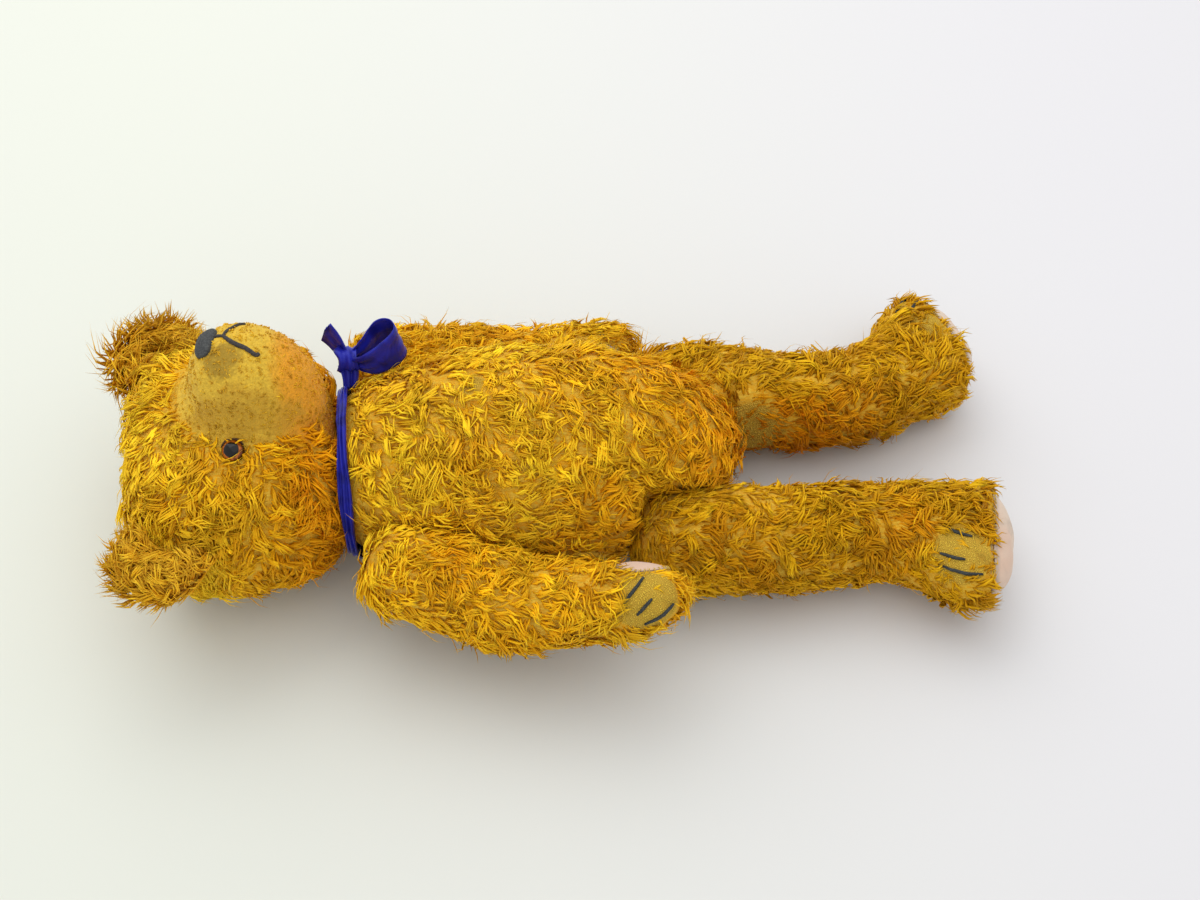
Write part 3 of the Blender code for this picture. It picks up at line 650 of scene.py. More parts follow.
def ripple(points: np.ndarray, size: float, seed: int) -> np.ndarray:
    """Return gentle noise between about -1 and 1, with blotches of about `size` metres."""
    rng = np.random.default_rng(seed)
    total = np.zeros(len(points))
    for _ in range(7):
        wave = rng.normal(size=3)
        wave *= 2 * math.pi / (size * 2.2 * (0.7 + 0.6 * rng.random())) / np.linalg.norm(wave)
        total += np.sin(points @ wave + rng.random() * 2 * math.pi)
    return total / 3.2


def axis_place(place: Vector, up: Vector, along: Vector) -> Matrix:
    """Return a place whose +Z is `up` and whose +X is as near to `along` as it can be."""
    z = up.normalized()
    x = (along - along.dot(z) * z).normalized()
    return Matrix.Translation(place) @ Matrix((x, z.cross(x), z)).transposed().to_4x4()


def smooth_path(points: Sequence[Vector], steps: int) -> list[Vector]:
    """Return a smooth path of `steps` steps from point to point."""
    rows = np.array([tuple(p) for p in points])
    padded = np.vstack([2 * rows[0] - rows[1], rows, 2 * rows[-1] - rows[-2]])
    made = []
    for k in range(steps + 1):
        at = k / steps * (len(rows) - 1)
        i = min(int(at), len(rows) - 2)
        t = at - i
        a, b, c, d = padded[i:i + 4]
        made.append(Vector(0.5 * (
            2 * b + (c - a) * t + (2 * a - 5 * b + 4 * c - d) * t**2 + (3 * b - a - 3 * c + d) * t**3
        )))
    return made


def cord_shape(points: Sequence[Vector], radii: Sequence[float], sides: int = 8) -> bmesh.types.BMesh:
    """Return a closed cord through the points, made of bridged circles.

    Args:
        points: The points of its middle line.
        radii: Its radius at each point.
        sides: How many sides it has.

    Returns:
        The bmesh.
    """
    bm = bmesh.new()
    loops = []
    last = len(points) - 1
    for k, (point, radius) in enumerate(zip(points, radii)):
        ahead = (points[min(k + 1, last)] - points[max(k - 1, 0)]).normalized()
        side = ahead.cross(CORD_UP).normalized()
        turn = Matrix((side, side.cross(ahead) * -1, ahead)).transposed().to_4x4()
        ring = bmesh.ops.create_circle(bm, segments=sides, radius=radius)["verts"]
        bmesh.ops.transform(bm, matrix=Matrix.Translation(point) @ turn, verts=ring)
        loops.append([bm.edges.get((ring[i - 1], ring[i])) for i in range(sides)])
    bridged(bm, loops)
    return bm


def bridged(bm: bmesh.types.BMesh, loops: Sequence[list[bmesh.types.BMEdge]]) -> None:
    """Join loops of edges one to the next, and close both ends."""
    for first, second in zip(loops, loops[1:]):
        bmesh.ops.bridge_loops(bm, edges=first + second)
    for end in (loops[0], loops[-1]):
        bmesh.ops.contextual_create(bm, geom=end)


def copy_of(node: str) -> bmesh.types.BMesh:
    """Return a merged copy of a CAD node's mesh."""
    bm = bmesh.new()
    bm.from_mesh(frame["nodes"][node].data)
    bmesh.ops.remove_doubles(bm, verts=bm.verts, dist=WELD)
    return bm


# ---- stuffed skins ------------------------------------------------------------------------------
@dataclass
class Stuffed:
    """One stuffed part of the bear: the skin that replaces a sewn cover.

    Attributes:
        name: The part's name.
        body: The body that it moves with.
        node: The CAD node that it replaces.
        finish: The skin's material.
        voxel: Size of the cloth's cells, in metres.
        swell: How far the stuffing may push the cloth out.
        fill: How tightly it is stuffed; not used.
        seed: Seed of its lumps.
        sink: How far the cloth may lie below its sewn place.
    """

    name: str
    body: str
    node: str
    finish: bpy.types.Material
    voxel: float = 0.0055
    swell: float = 0.0022
    fill: float = 0.7
    seed: int = 1
    sink: float = 0.0016
    piece: bpy.types.Object = field(init=False)
    tree: BVHTree = field(init=False)

    def build(self) -> "Stuffed":
        mesh = to_mesh(self.outer_cloth(), outward=False)
        sewn = tree_of(mesh)
        self.piece = as_object(f"{self.name}_skin", mesh, self.finish)
        remesh = self.piece.modifiers.new("cells", "REMESH")
        remesh.mode = "VOXEL"
        remesh.voxel_size = self.voxel
        applied(self.piece)
        self.settle()
        self.stuff()
        finer = self.piece.modifiers.new("finer", "SUBSURF")
        finer.levels = finer.render_levels = 1
        applied(self.piece)
        self.lump(sewn)
        self.piece.data.materials.clear()
        self.piece.data.materials.append(self.finish)
        self.piece.data.shade_smooth()
        self.tree = tree_of(self.piece.data)
        declare(self.piece, "mohair", self.body, self.node)
        return self

    def outer_cloth(self) -> bmesh.types.BMesh:
        """Return the cover's outer surface alone, with the pins' holes closed."""
        bm = copy_of(self.node)
        walls = []
        for joint in JOINTS.values():
            middle = Vector(joint["pos_m"])
            axis = Vector(joint["axis"]).normalized()
            for face in bm.faces:
                away = face.calc_center_median() - middle
                on_axis = away.dot(axis)
                in_hole = abs(on_axis) < PIN_REACH and (away - on_axis * axis).length < PIN_HOLE_R
                if in_hole and abs(face.normal.dot(axis)) < 0.5:
                    walls.append(face)
        bmesh.ops.delete(bm, geom=list(set(walls)), context="FACES")
        shells = []
        left = set(bm.verts)
        while left:
            shell = {left.pop()}
            edge = list(shell)
            while edge:
                here = edge.pop()
                for link in here.link_edges:
                    other = link.other_vert(here)
                    if other in left:
                        left.remove(other)
                        shell.add(other)
                        edge.append(other)
            shells.append(shell)
        shells.sort(key=lambda shell: max(v.co.z for v in shell) - min(v.co.z for v in shell))
        inner = [vert for shell in shells[:-1] for vert in shell]
        bmesh.ops.delete(bm, geom=inner, context="VERTS")
        bmesh.ops.holes_fill(bm, edges=bm.edges, sides=0)
        bmesh.ops.recalc_face_normals(bm, faces=bm.faces)
        return bm

    def settle(self) -> None:
        """Even out the cells, which draws the cloth in a little and leaves room for the stuffing."""
        bm = bmesh.new()
        bm.from_mesh(self.piece.data)
        for _ in range(4):
            bmesh.ops.smooth_vert(
                bm, verts=bm.verts, factor=0.5, use_axis_x=True, use_axis_y=True, use_axis_z=True,
            )
        bm.to_mesh(self.piece.data)
        bm.free()

    def stuff(self) -> None:
        """Fill the skin under pressure as cloth, and keep each point near where it was sewn."""
        scene = bpy.context.scene
        start = points_of(self.piece.data)
        cloth = self.piece.modifiers.new("cloth", "CLOTH")
        cloth.settings.use_pressure = True
        cloth.settings.uniform_pressure_force = CLOTH_PRESSURE
        cloth.settings.quality = 4
        cloth.settings.effector_weights.gravity = 0.0
        cloth.collision_settings.use_collision = False
        cloth.point_cache.frame_start = 1
        cloth.point_cache.frame_end = CLOTH_FRAMES
        for number in range(1, CLOTH_FRAMES + 1):
            scene.frame_set(number)
        graph = bpy.context.evaluated_depsgraph_get()
        swollen = points_of(self.piece.evaluated_get(graph).data)
        self.piece.modifiers.clear()
        scene.frame_set(1)
        moved = swollen - start
        far = np.linalg.norm(moved, axis=1, keepdims=True)
        kept = start + moved * np.minimum(1.0, self.swell / np.maximum(far, 1e-9))
        kept[:, 2] = np.maximum(kept[:, 2], FLOOR_GAP)
        set_points(self.piece.data, kept)

    def lump(self, sewn: BVHTree) -> None:
        """Give the skin the soft lumps of old stuffing, close to its sewn cover and off the table.

        Args:
            sewn: The cover's outer surface.
        """
        mesh = self.piece.data
        points = points_of(mesh)
        out = normals_of(mesh)
        lumps = sum(height * ripple(points, size, self.seed + shift) for height, size, shift in LUMPS)
        points += out * (lumps - DRAWN_IN)[:, None]
        for k, point in enumerate(points):
            spot, normal, _, away = sewn.find_nearest(Vector(point))
            if away > self.sink and (Vector(point) - spot).dot(normal) < 0:
                points[k] = spot - self.sink * normal
        points[:, 2] = np.maximum(points[:, 2], FLOOR_GAP)
        set_points(mesh, points)

    def middle(self) -> Vector:
        """Return the middle of the skin."""
        return Vector(points_of(self.piece.data).mean(axis=0))

    def on(self, place: Sequence[float], lift: float = 0.0) -> tuple[Vector, Vector]:
        """Return the skin's point nearest to a place, raised by `lift`, and its outward direction."""
        hit, normal, _, _ = self.tree.find_nearest(Vector(place))
        return hit + normal * lift, normal


# ---- pile ---------------------------------------------------------------------------------------
class Curl(Enum):
    """The shapes that a lock of mohair takes: its sweep, its wave, its lift and its droop."""

    STRAIGHT = (0.12, 0.05, 0.14, -0.03)
    LEFT = (0.50, 0.06, 0.12, -0.06)
    RIGHT = (-0.50, -0.06, 0.12, -0.06)
    WAVE = (0.14, 0.15, 0.16, -0.10)
    RIPPLE = (-0.18, -0.16, 0.18, -0.08)
    HOOK = (0.90, 0.08, 0.22, 0.02)
    TURN = (-0.85, 0.08, 0.14, -0.04)
    LAID = (-0.08, 0.12, 0.07, -0.05)
    RINGLET = (0.35, -0.22, 0.26, -0.12)
    CROOK = (-0.60, 0.18, 0.20, -0.10)


def turn_of(across: float, up: float) -> float:
    """Return how far round a lock a place is, from -0.5 to 0.5."""
    return math.atan2(up / LOCK_FLAT, across) / (2 * math.pi)


@dataclass(frozen=True)
class LockShape:
    """The mesh of one lock, 1 long and 1 wide, ready to be planted many times.

    Attributes:
        body: Its corners while it is straight: along, across and up.
        bend: Where its middle line runs at each corner: along, across and up.
        along: How far along the lock each corner is, from 0 to 1.
        around: How far round it each corner is, from 0 to 1.
        loops: The corner of each face loop.
        starts: Where each face starts among the loops.
        sheet: The place of each face loop in the lock's own square, from 0 to 1.
    """

    body: np.ndarray
    bend: np.ndarray
    along: np.ndarray
    around: np.ndarray
    loops: np.ndarray
    starts: np.ndarray
    sheet: np.ndarray

    @staticmethod
    def model(curl: Curl, rings: int = 3, sides: int = 3) -> "LockShape":
        """Model one lock with rings that taper to a tip."""
        sweep, wave, lift, end = curl.value
        bm = bmesh.new()
        loops = []
        for k in range(rings):
            s = k / rings
            ring = bmesh.ops.create_circle(bm, segments=sides, radius=0.5 * LOCK_TAPER[k])["verts"]
            for vert in ring:
                across, up = vert.co.x, vert.co.y * LOCK_FLAT
                vert.co = (s, across, up)
            loops.append([bm.edges.get((ring[i - 1], ring[i])) for i in range(sides)])
        bridged(bm, loops)
        last = [face for face in bm.faces if all(v.co.x > 0.6 for v in face.verts)]
        for vert in bmesh.ops.poke(bm, faces=last)["verts"]:
            vert.co = (1.0, 0.0, 0.0)
        bmesh.ops.recalc_face_normals(bm, faces=bm.faces)
        bm.verts.index_update()
        rows = np.array([tuple(vert.co) for vert in bm.verts])
        corner, starts, sheet = [], [], []
        for face in bm.faces:
            starts.append(len(corner))
            middle = turn_of(sum(v.co.y for v in face.verts), sum(v.co.z for v in face.verts))
            root = all(vert.co.x < 0.01 for vert in face.verts)
            for vert in (loop.vert for loop in face.loops):
                corner.append(vert.index)
                turn = middle if vert.co.x > 0.99 else turn_of(vert.co.y, vert.co.z)
                turn = middle + (turn - middle + 0.5) % 1.0 - 0.5
                if root:
                    sheet.append((0.02 + 0.03 * (turn % 0.5), 0.5 + 0.4 * vert.co.y))
                else:
                    sheet.append((0.10 + 0.86 * vert.co.x, 0.5 + 0.9 * turn))
        bm.free()
        s = rows[:, 0].copy()
        around = np.arctan2(rows[:, 2] / LOCK_FLAT, rows[:, 1]) / (2 * math.pi) + 0.5
        bend = np.stack([
            s - 0.30 * sweep**2 * s**3,
            sweep * s**2 + wave * np.sin(2 * math.pi * s * 0.95) * s**0.5,
            lift * np.sin(math.pi * s * 0.85) + end * s**2,
        ], axis=1)
        return LockShape(rows, bend, s, around, np.array(corner), np.array(starts), np.array(sheet))


@dataclass(frozen=True)
class Plan:
    """How one pile grows.

    Attributes:
        lay: Which way each lock lies, from its place and outward direction.
        length: Length of each lock in metres.
        thick: How much of the pile is left at each place, from 0 to 1.
        rust: How much of the orange dye each lock has kept, from 0 to 1.
        dull: How dirty each lock is and how much painted shade it has, from 0 to 1.
        width: Width of a lock in metres.
        ruffle: How far the locks stray from the lay, in radians.
        stand: How far they stand off the cloth, in radians.
        swirl: Size in metres of the swirls, and their strength in radians.
        pale: How far each lock is faded and painted as lit, from 0 to 1, or None for not at all.
        wisps: Share of the locks that are thin, long and loose.
        tuft: How many locks run together into one tuft.
        pull: How far a tuft draws the tips of its locks together, from 0 to 1.
        rings: How many rings shape each lock.
    """

    lay: Field
    length: Field
    thick: Field
    rust: Field
    dull: Field
    width: float = 0.0017
    ruffle: float = 0.45
    stand: float = 0.20
    swirl: tuple[float, float] = (0.016, 0.8)
    pale: Field | None = None
    wisps: float = 0.06
    tuft: int = 6
    pull: float = 0.80
    rings: int = 3


@dataclass
class Pile:
    """A pile of mohair locks on one stuffed part.

    Attributes:
        name: The piece's name.
        part: The part that it grows on.
        plan: How it grows.
        finish: Its material.
        count: How many locks are tried.
        seed: Seed of its scatter.
        neighbours: Parts whose skins it keeps clear of.
        within: Which places it covers, or None for the whole skin.
    """

    name: str
    part: Stuffed
    plan: Plan
    finish: bpy.types.Material
    count: int
    seed: int
    neighbours: Sequence[Stuffed] = ()
    within: Field | None = None

    def build(self) -> None:
        rng = np.random.default_rng(self.seed)
        roots, out = self.scatter(rng)
        keep = self.clear_of_neighbours(roots, out)
        if self.within is not None:
            keep &= self.within(roots, out) > 0.5
        keep &= rng.random(len(roots)) < self.plan.thick(roots, out)
        roots, out = roots[keep], out[keep]
        piece = as_object(self.name, self.plant(roots, out, rng), self.finish)
        declare(piece, "mohair", self.part.body)

    def scatter(self, rng: np.random.Generator) -> tuple[np.ndarray, np.ndarray]:
        """Return evenly spread places on the skin and their outward directions."""
        mesh = self.part.piece.data
        mesh.calc_loop_triangles()
        corners = np.empty(len(mesh.loop_triangles) * 3, np.int32)
        mesh.loop_triangles.foreach_get("vertices", corners)
        corners = corners.reshape(-1, 3)
        points, normals = points_of(mesh), normals_of(mesh)
        a, b, c = (points[corners[:, k]] for k in range(3))
        area = np.linalg.norm(np.cross(b - a, c - a), axis=1) / 2
        reach = np.cumsum(area) / area.sum()
        picks = np.searchsorted(reach, (np.arange(self.count) + rng.random(self.count)) / self.count)
        picks = np.clip(picks, 0, len(area) - 1)
        u, v = rng.random(self.count), rng.random(self.count)
        u, v = np.where(u + v > 1, 1 - u, u), np.where(u + v > 1, 1 - v, v)
        weights = np.stack([1 - u - v, u, v], axis=1)[:, :, None]
        places = (points[corners[picks]] * weights).sum(axis=1)
        return places, unit((normals[corners[picks]] * weights).sum(axis=1))

    def clear_of_neighbours(self, roots: np.ndarray, out: np.ndarray) -> np.ndarray:
        """Tell which roots have room for a lock before the next part."""
        room = np.ones(len(roots), bool)
        for other in self.neighbours:
            for k, (root, normal) in enumerate(zip(roots, out)):
                if room[k]:
                    start = Vector(root + 0.0002 * normal)
                    hit = other.tree.ray_cast(start, Vector(normal), LOCK_ROOM)[0]
                    room[k] = hit is None
        return room

    def tufts(self, roots: np.ndarray, rng: np.random.Generator) -> np.ndarray:
        """Return the number of the lock that leads each lock's tuft."""
        leaders = rng.choice(len(roots), max(len(roots) // self.plan.tuft, 1), replace=False)
        tree = KDTree(len(leaders))
        for leader in leaders:
            tree.insert(Vector(roots[leader]), int(leader))
        tree.balance()
        return np.array([tree.find(Vector(root))[1] for root in roots])

    def plant(self, roots: np.ndarray, out: np.ndarray, rng: np.random.Generator) -> bpy.types.Mesh:
        """Return one mesh with a lock on each root, drawn together in tufts.

        Args:
            roots: Places of the locks on the skin.
            out: The skin's outward direction at each.
            rng: The pile's random numbers.

        Returns:
            The mesh.
        """
        plan = self.plan
        total = len(roots)
        lead = self.tufts(roots, rng)
        lay = plan.lay(roots, out)
        lay = unit(lay - out * (lay * out).sum(axis=1, keepdims=True))
        side = np.cross(out, lay)
        size, strength = plan.swirl
        turn = strength * ripple(roots, size, self.seed + 7) + plan.ruffle * rng.normal(size=total)
        stand = plan.stand * (0.15 + 1.2 * rng.random(total) ** 1.5)
        turn, stand = turn[lead] + 0.10 * rng.normal(size=total), stand[lead] + 0.05 * rng.random(total)
        ahead = lay * np.cos(turn)[:, None] + side * np.sin(turn)[:, None]
        wisp = rng.random(total) < plan.wisps
        stand += 0.35 * wisp * rng.random(total)
        ahead, up = (
            ahead * np.cos(stand)[:, None] + out * np.sin(stand)[:, None],
            out * np.cos(stand)[:, None] - ahead * np.sin(stand)[:, None],
        )
        length = plan.length(roots, out) * (0.75 + 0.50 * rng.random(total)[lead])
        length = length * (0.86 + 0.24 * rng.random(total)) * (1 + 0.25 * wisp)
        width = plan.width * (0.60 + 0.7 * rng.random(total)) * (1 - 0.55 * wisp)
        layers = self.tones(roots, out, lead, rng)
        drawn = plan.pull * (1 - wisp) * (0.7 + 0.3 * rng.random(total))
        gather = (roots[lead] - roots) * drawn[:, None]
        shapes = [LockShape.model(curl, plan.rings) for curl in Curl]
        kinds = rng.integers(0, len(shapes), total)
        kinds = np.where(rng.random(total) < 0.8, kinds[lead], kinds)
        frames = (roots - out * ROOT_DEPTH, gather, ahead, np.cross(up, ahead), up)
        return self.mesh_from(self.copies(shapes, kinds, frames, (length, width), layers))

    def tones(self, roots: np.ndarray, out: np.ndarray, lead: np.ndarray,
              rng: np.random.Generator) -> dict[str, np.ndarray]:
        """Return what colours each lock: its tone, and how rusty, soiled and bleached it is."""
        total = len(roots)
        toned = 0.5 + 0.17 * rng.normal(size=total)[lead] + 0.09 * rng.normal(size=total)
        layers = {"tone": np.clip(toned + 0.12 * ripple(roots, 0.020, self.seed + 3), 0, 1)}
        for key in ("rust", "dull", "pale"):
            share = getattr(self.plan, key)
            spread = 0.10 * rng.normal(size=total)[lead]
            layers[key] = np.clip(share(roots, out) + spread, 0, 1) if share else np.zeros(total)
        return layers

    @staticmethod
    def copies(shapes: Sequence[LockShape], kinds: np.ndarray, frames: Sequence[np.ndarray],
               sizes: Sequence[np.ndarray], layers: dict[str, np.ndarray]) -> dict[str, np.ndarray]:
        """Return the corners, faces and layers of every lock, each in its own cell of one sheet.

        Args:
            shapes: The shapes that a lock may have.
            kinds: Which of them each lock has.
            frames: Each lock's root, the pull on its tip, and its directions ahead, across and up.
            sizes: Each lock's length and width.
            layers: What colours each lock.

        Returns:
            The arrays of one mesh.
        """
        roots, gather, ahead, across, up = frames
        length, width = sizes
        grid = int(math.ceil(math.sqrt(max(len(roots), 1))))
        parts = {key: [] for key in ("points", "loops", "starts", "along", "around", "sheet", *layers)}
        corner_base = loop_base = lock_base = 0
        for kind, shape in enumerate(shapes):
            chosen = np.nonzero(kinds == kind)[0]
            n = len(chosen)
            body, bend, pulled = shape.body, shape.bend, (shape.along**0.8)[None, :, None]
            wide, long = width[chosen, None], length[chosen, None]
            placed = roots[chosen, None, :] + gather[chosen, None, :] * pulled
            placed += (bend[None, :, 0] * long)[:, :, None] * ahead[chosen, None, :]
            for axis, way in ((1, across), (2, up)):
                aside = bend[None, :, axis] * long + body[None, :, axis] * wide
                placed += aside[:, :, None] * way[chosen, None, :]
            cells = lock_base + np.arange(n)
            corner_of = np.stack([cells % grid, cells // grid], axis=1)[:, None, :]
            number = np.arange(n)[:, None]
            parts["points"].append(placed.reshape(-1, 3))
            parts["loops"].append((shape.loops[None, :] + corner_base + number * len(body)).ravel())
            parts["starts"].append((shape.starts[None, :] + loop_base + number * len(shape.loops)).ravel())
            parts["along"].append(np.tile(shape.along, n))
            parts["around"].append(np.tile(shape.around, n))
            for key, values in layers.items():
                parts[key].append(np.repeat(values[chosen], len(body)))
            parts["sheet"].append(((corner_of + shape.sheet[None, :, :]) / grid).reshape(-1, 2))
            corner_base += n * len(body)
            loop_base += n * len(shape.loops)
            lock_base += n
        return {key: np.concatenate(value) for key, value in parts.items()}

    @staticmethod
    def mesh_from(parts: dict[str, np.ndarray]) -> bpy.types.Mesh:
        """Return the mesh of all the planted copies, pressed down where they reach the table."""
        points = parts["points"]
        high = points[:, 2] - FLOOR_GAP - SOFT_LANDING
        bent = FLOOR_GAP + SOFT_LANDING * np.exp(high / SOFT_LANDING)
        points[:, 2] = np.where(points[:, 2] < FLOOR_GAP + SOFT_LANDING, bent, points[:, 2])
        mesh = bpy.data.meshes.new("pile")
        mesh.vertices.add(len(points))
        mesh.vertices.foreach_set("co", points.astype(np.float32).ravel())
        mesh.loops.add(len(parts["loops"]))
        mesh.loops.foreach_set("vertex_index", parts["loops"].astype(np.int32))
        mesh.polygons.add(len(parts["starts"]))
        mesh.polygons.foreach_set("loop_start", parts["starts"].astype(np.int32))
        mesh.update(calc_edges=True)
        for key in ("along", "around", "tone", "rust", "dull", "pale"):
            set_layer(mesh, key, parts[key])
        sheet = mesh.uv_layers.new(name="OFBake")
        sheet.data.foreach_set("uv", parts["sheet"].astype(np.float32).ravel())
        return mesh


# ---- the pile's lay, length and wear ------------------------------------------------------------
MUZZLE = Vector((-0.1715, 0.0135, 0.1135))
MUZZLE_HALF = Vector((0.0335, 0.0340, 0.0445))
MUZZLE_LEAN = Matrix.Rotation(math.radians(-27), 3, "Y") @ Matrix.Rotation(math.radians(-4), 3, "X")
NOSE = (-0.08, 0.07)    # shares of the muzzle's half size, to the chin and to the bear's left
HEAD = Vector((-0.1900, 0.0040, 0.0610))
EAR_LAYS = {    # which way an ear's locks lie, and how long they are
    "left": ((0.020, -0.012, 0.026), 0.0165),
    "right": ((-0.020, 0.012, 0.012), 0.0125),
}
UNDERSIDE = -0.10       # the back's pile starts where the skin faces down more than this


def steady(*direction: float) -> Field:
    """Return a field with the same value everywhere."""
    return lambda points, out: np.tile(np.array(direction, float), (len(points), 1))


def even(value: float) -> Field:
    """Return a field with the same number everywhere."""
    return lambda points, out: np.full(len(points), value)


def middle_of(node: str) -> Vector:
    """Return the middle of a CAD node's box."""
    low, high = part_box(node)
    return (low + high) / 2


def torso_lay(points: np.ndarray, out: np.ndarray) -> np.ndarray:
    """Lay the belly's pile towards the feet, and down to the right flank across its middle."""
    y = points[:, 1]
    middle = rise(y, -0.046, -0.030) * (1 - rise(y, 0.016, 0.040)) * rise(out[:, 2], -0.2, 0.4)
    lay = np.zeros_like(points)
    lay[:, 0] = 1.0 - 0.55 * middle
    lay[:, 1] = -0.95 * middle - 0.12
    return lay


def head_lay(points: np.ndarray, out: np.ndarray) -> np.ndarray:
    """Lay the face's pile away from the muzzle, over the crown and the cheeks."""
    away = unit(points - np.array(MUZZLE))
    away[:, 0] += 0.55
    away[:, 2] -= 0.25
    return away


def along_limb(joint: str, pad: str, fall: float) -> Field:
    """Return the lay of a limb's pile, from its joint to its pad and a little to the table."""
    ahead = (middle_of(pad) - Vector(JOINTS[joint]["pos_m"])).normalized()
    return steady(ahead.x, ahead.y, ahead.z - fall)


def in_muzzle(points: np.ndarray) -> np.ndarray:
    """Return how far each place is from the muzzle's middle, as a share of its half size."""
    local = (points - np.array(MUZZLE)) @ np.array(MUZZLE_LEAN)
    return np.linalg.norm(local / np.array(MUZZLE_HALF), axis=1)


# ---- pieces -------------------------------------------------------------------------------------
@dataclass
class Face:
    """The bear's eyes, its stitched nose and its stitched mouth.

    Attributes:
        head: The skin that they are sewn to.
        eye_r: Radius of a glass eye.
        nose_half: Half sizes of the nose: along the face, across it and up.
        thread: Radius of the mouth's thread.
    """

    head: Stuffed
    eye_r: float = 0.0060
    nose_half: tuple[float, float, float] = (0.0064, 0.0092, 0.0040)
    thread: float = 0.0010

    def build(self) -> None:
        """Build every piece of the face."""
        glass = EyeGlass("amber_glass").material()
        # Dark brown thread painted as the shadow above each eye.
        rim = Thread("eye_shadow_thread", (0.060, 0.026, 0.008), (0.150, 0.070, 0.020)).material()
        stitch = Thread("face_thread", (0.040, 0.043, 0.045), (0.120, 0.126, 0.122)).material()
        for side in SIDES:
            self.eye(side, glass, rim)
        self.nose(stitch)
        self.mouth(Thread("mouth_thread", (0.034, 0.030, 0.030), (0.100, 0.085, 0.075)).material())

    def eye(self, side: str, glass: bpy.types.Material, rim: bpy.types.Material) -> None:
        """Build one glass eye, with a dark thread arc above it as painted shadow."""
        middle = middle_of(f"{side}_eye")
        out = (Vector((0, SIDES[side] * 0.45, 1)) + Vector((-0.12, 0, 0))).normalized()
        place = axis_place(middle + 0.0008 * out, out, Vector((1, 0, 0)))
        bm = bmesh.new()
        bmesh.ops.create_uvsphere(bm, u_segments=40, v_segments=24, radius=1.0)
        ring = np.array([math.hypot(vert.co.x, vert.co.y) if vert.co.z > 0 else 1.0 for vert in bm.verts])
        bmesh.ops.scale(bm, vec=(self.eye_r, self.eye_r, 0.78 * self.eye_r), verts=bm.verts)
        mesh = to_mesh(bm, place, outward=False)
        set_layer(mesh, "ring", ring)
        declare(as_object(f"{side}_glass_eye", mesh, glass), "eye_glass", self.head.body, f"{side}_eye")
        # Painted shadow: a dark arc over the eye's upper rim, where the shade of the brow falls.
        arc = []
        for k in range(13):
            angle = math.radians(20 + 140 * k / 12)
            towards = place.to_3x3() @ Vector((math.cos(angle), -SIDES[side] * math.sin(angle), 0))
            arc.append(middle + 0.0020 * out + 1.03 * self.eye_r * towards)
        radii = [0.0008 * math.sin(math.pi * (k + 0.6) / 13.2) + 0.0001 for k in range(13)]
        lid = to_mesh(cord_shape(arc, radii))
        declare(as_object(f"{side}_eye_shadow_arc", lid, rim), "thread", self.head.body)

    def nose(self, stitch: bpy.types.Material) -> None:
        """Build the nose: a shield of close stitches over a small pad."""
        spot = self.on_muzzle(*NOSE, 0.0)
        out = (self.on_muzzle(*NOSE, 0.01) - spot).normalized()
        place = axis_place(spot - 0.0006 * out, out, Vector((1, -0.16, 0)))
        half = Vector(self.nose_half)
        bm = bmesh.new()
        bmesh.ops.create_uvsphere(bm, u_segments=96, v_segments=24, radius=1.0)
        for vert in bm.verts:
            x, y, z = vert.co
            around = math.hypot(x, y)
            spread = 1.0
            if around > 1e-6:
                spread = min(around / (abs(x) ** 2.7 + abs(y) ** 2.7) ** (1 / 2.7), 1.2)
            taper = 1.0 + 0.16 * y - 0.10 * max(x, 0.0)
            rib = 1.0 + 0.05 * math.cos(math.pi * 2 * x * 5.5) * max(z, 0.0)
            vert.co = (half.x * x * spread * taper, half.y * y * spread, half.z * z * rib)
        nose = as_object("stitched_nose", to_mesh(bm, place), stitch)
        declare(nose, "thread", self.head.body, "nose_stitching")

    def on_muzzle(self, chin: float, left: float, lift: float) -> Vector:
        """Return a point over the muzzle; `chin` and `left` are shares of its half size."""
        up = max(1 - chin**2 - left**2, 0.0) ** 0.5
        local = Vector((chin * MUZZLE_HALF.x, left * MUZZLE_HALF.y, up * MUZZLE_HALF.z))
        spot, normal = self.head.on(MUZZLE + MUZZLE_LEAN @ local)
        return spot + normal * lift

    def mouth(self, stitch: bpy.types.Material) -> None:
        """Build the mouth: a short stitch from the nose that parts into two long ones."""
        lines = {
            "mouth_stem": (((0.10, 0.10), (0.18, 0.09), (0.26, 0.07)), 0.9),
            "mouth_right": (
                ((0.25, 0.09), (0.32, 0.00), (0.43, -0.09), (0.55, -0.16), (0.66, -0.24), (0.70, -0.20)),
                1.25,
            ),
            "mouth_left": (((0.26, 0.07), (0.29, 0.20), (0.34, 0.34), (0.42, 0.52)), 0.95),
        }
        for name, (shares, thick) in lines.items():
            path = smooth_path([self.on_muzzle(c, y, 0.0) for c, y in shares], 16)
            path = [self.head.on(p, 0.35 * self.thread)[0] for p in path]
            tapers = [0.55 + 0.45 * math.sin(math.pi * (k + 1) / 18) ** 0.5 for k in range(17)]
            shape = cord_shape(path, [self.thread * thick * taper for taper in tapers])
            replaced = ["mouth_stitching"] if name == "mouth_stem" else []
            declare(as_object(name, to_mesh(shape), stitch), "thread", self.head.body, *replaced)


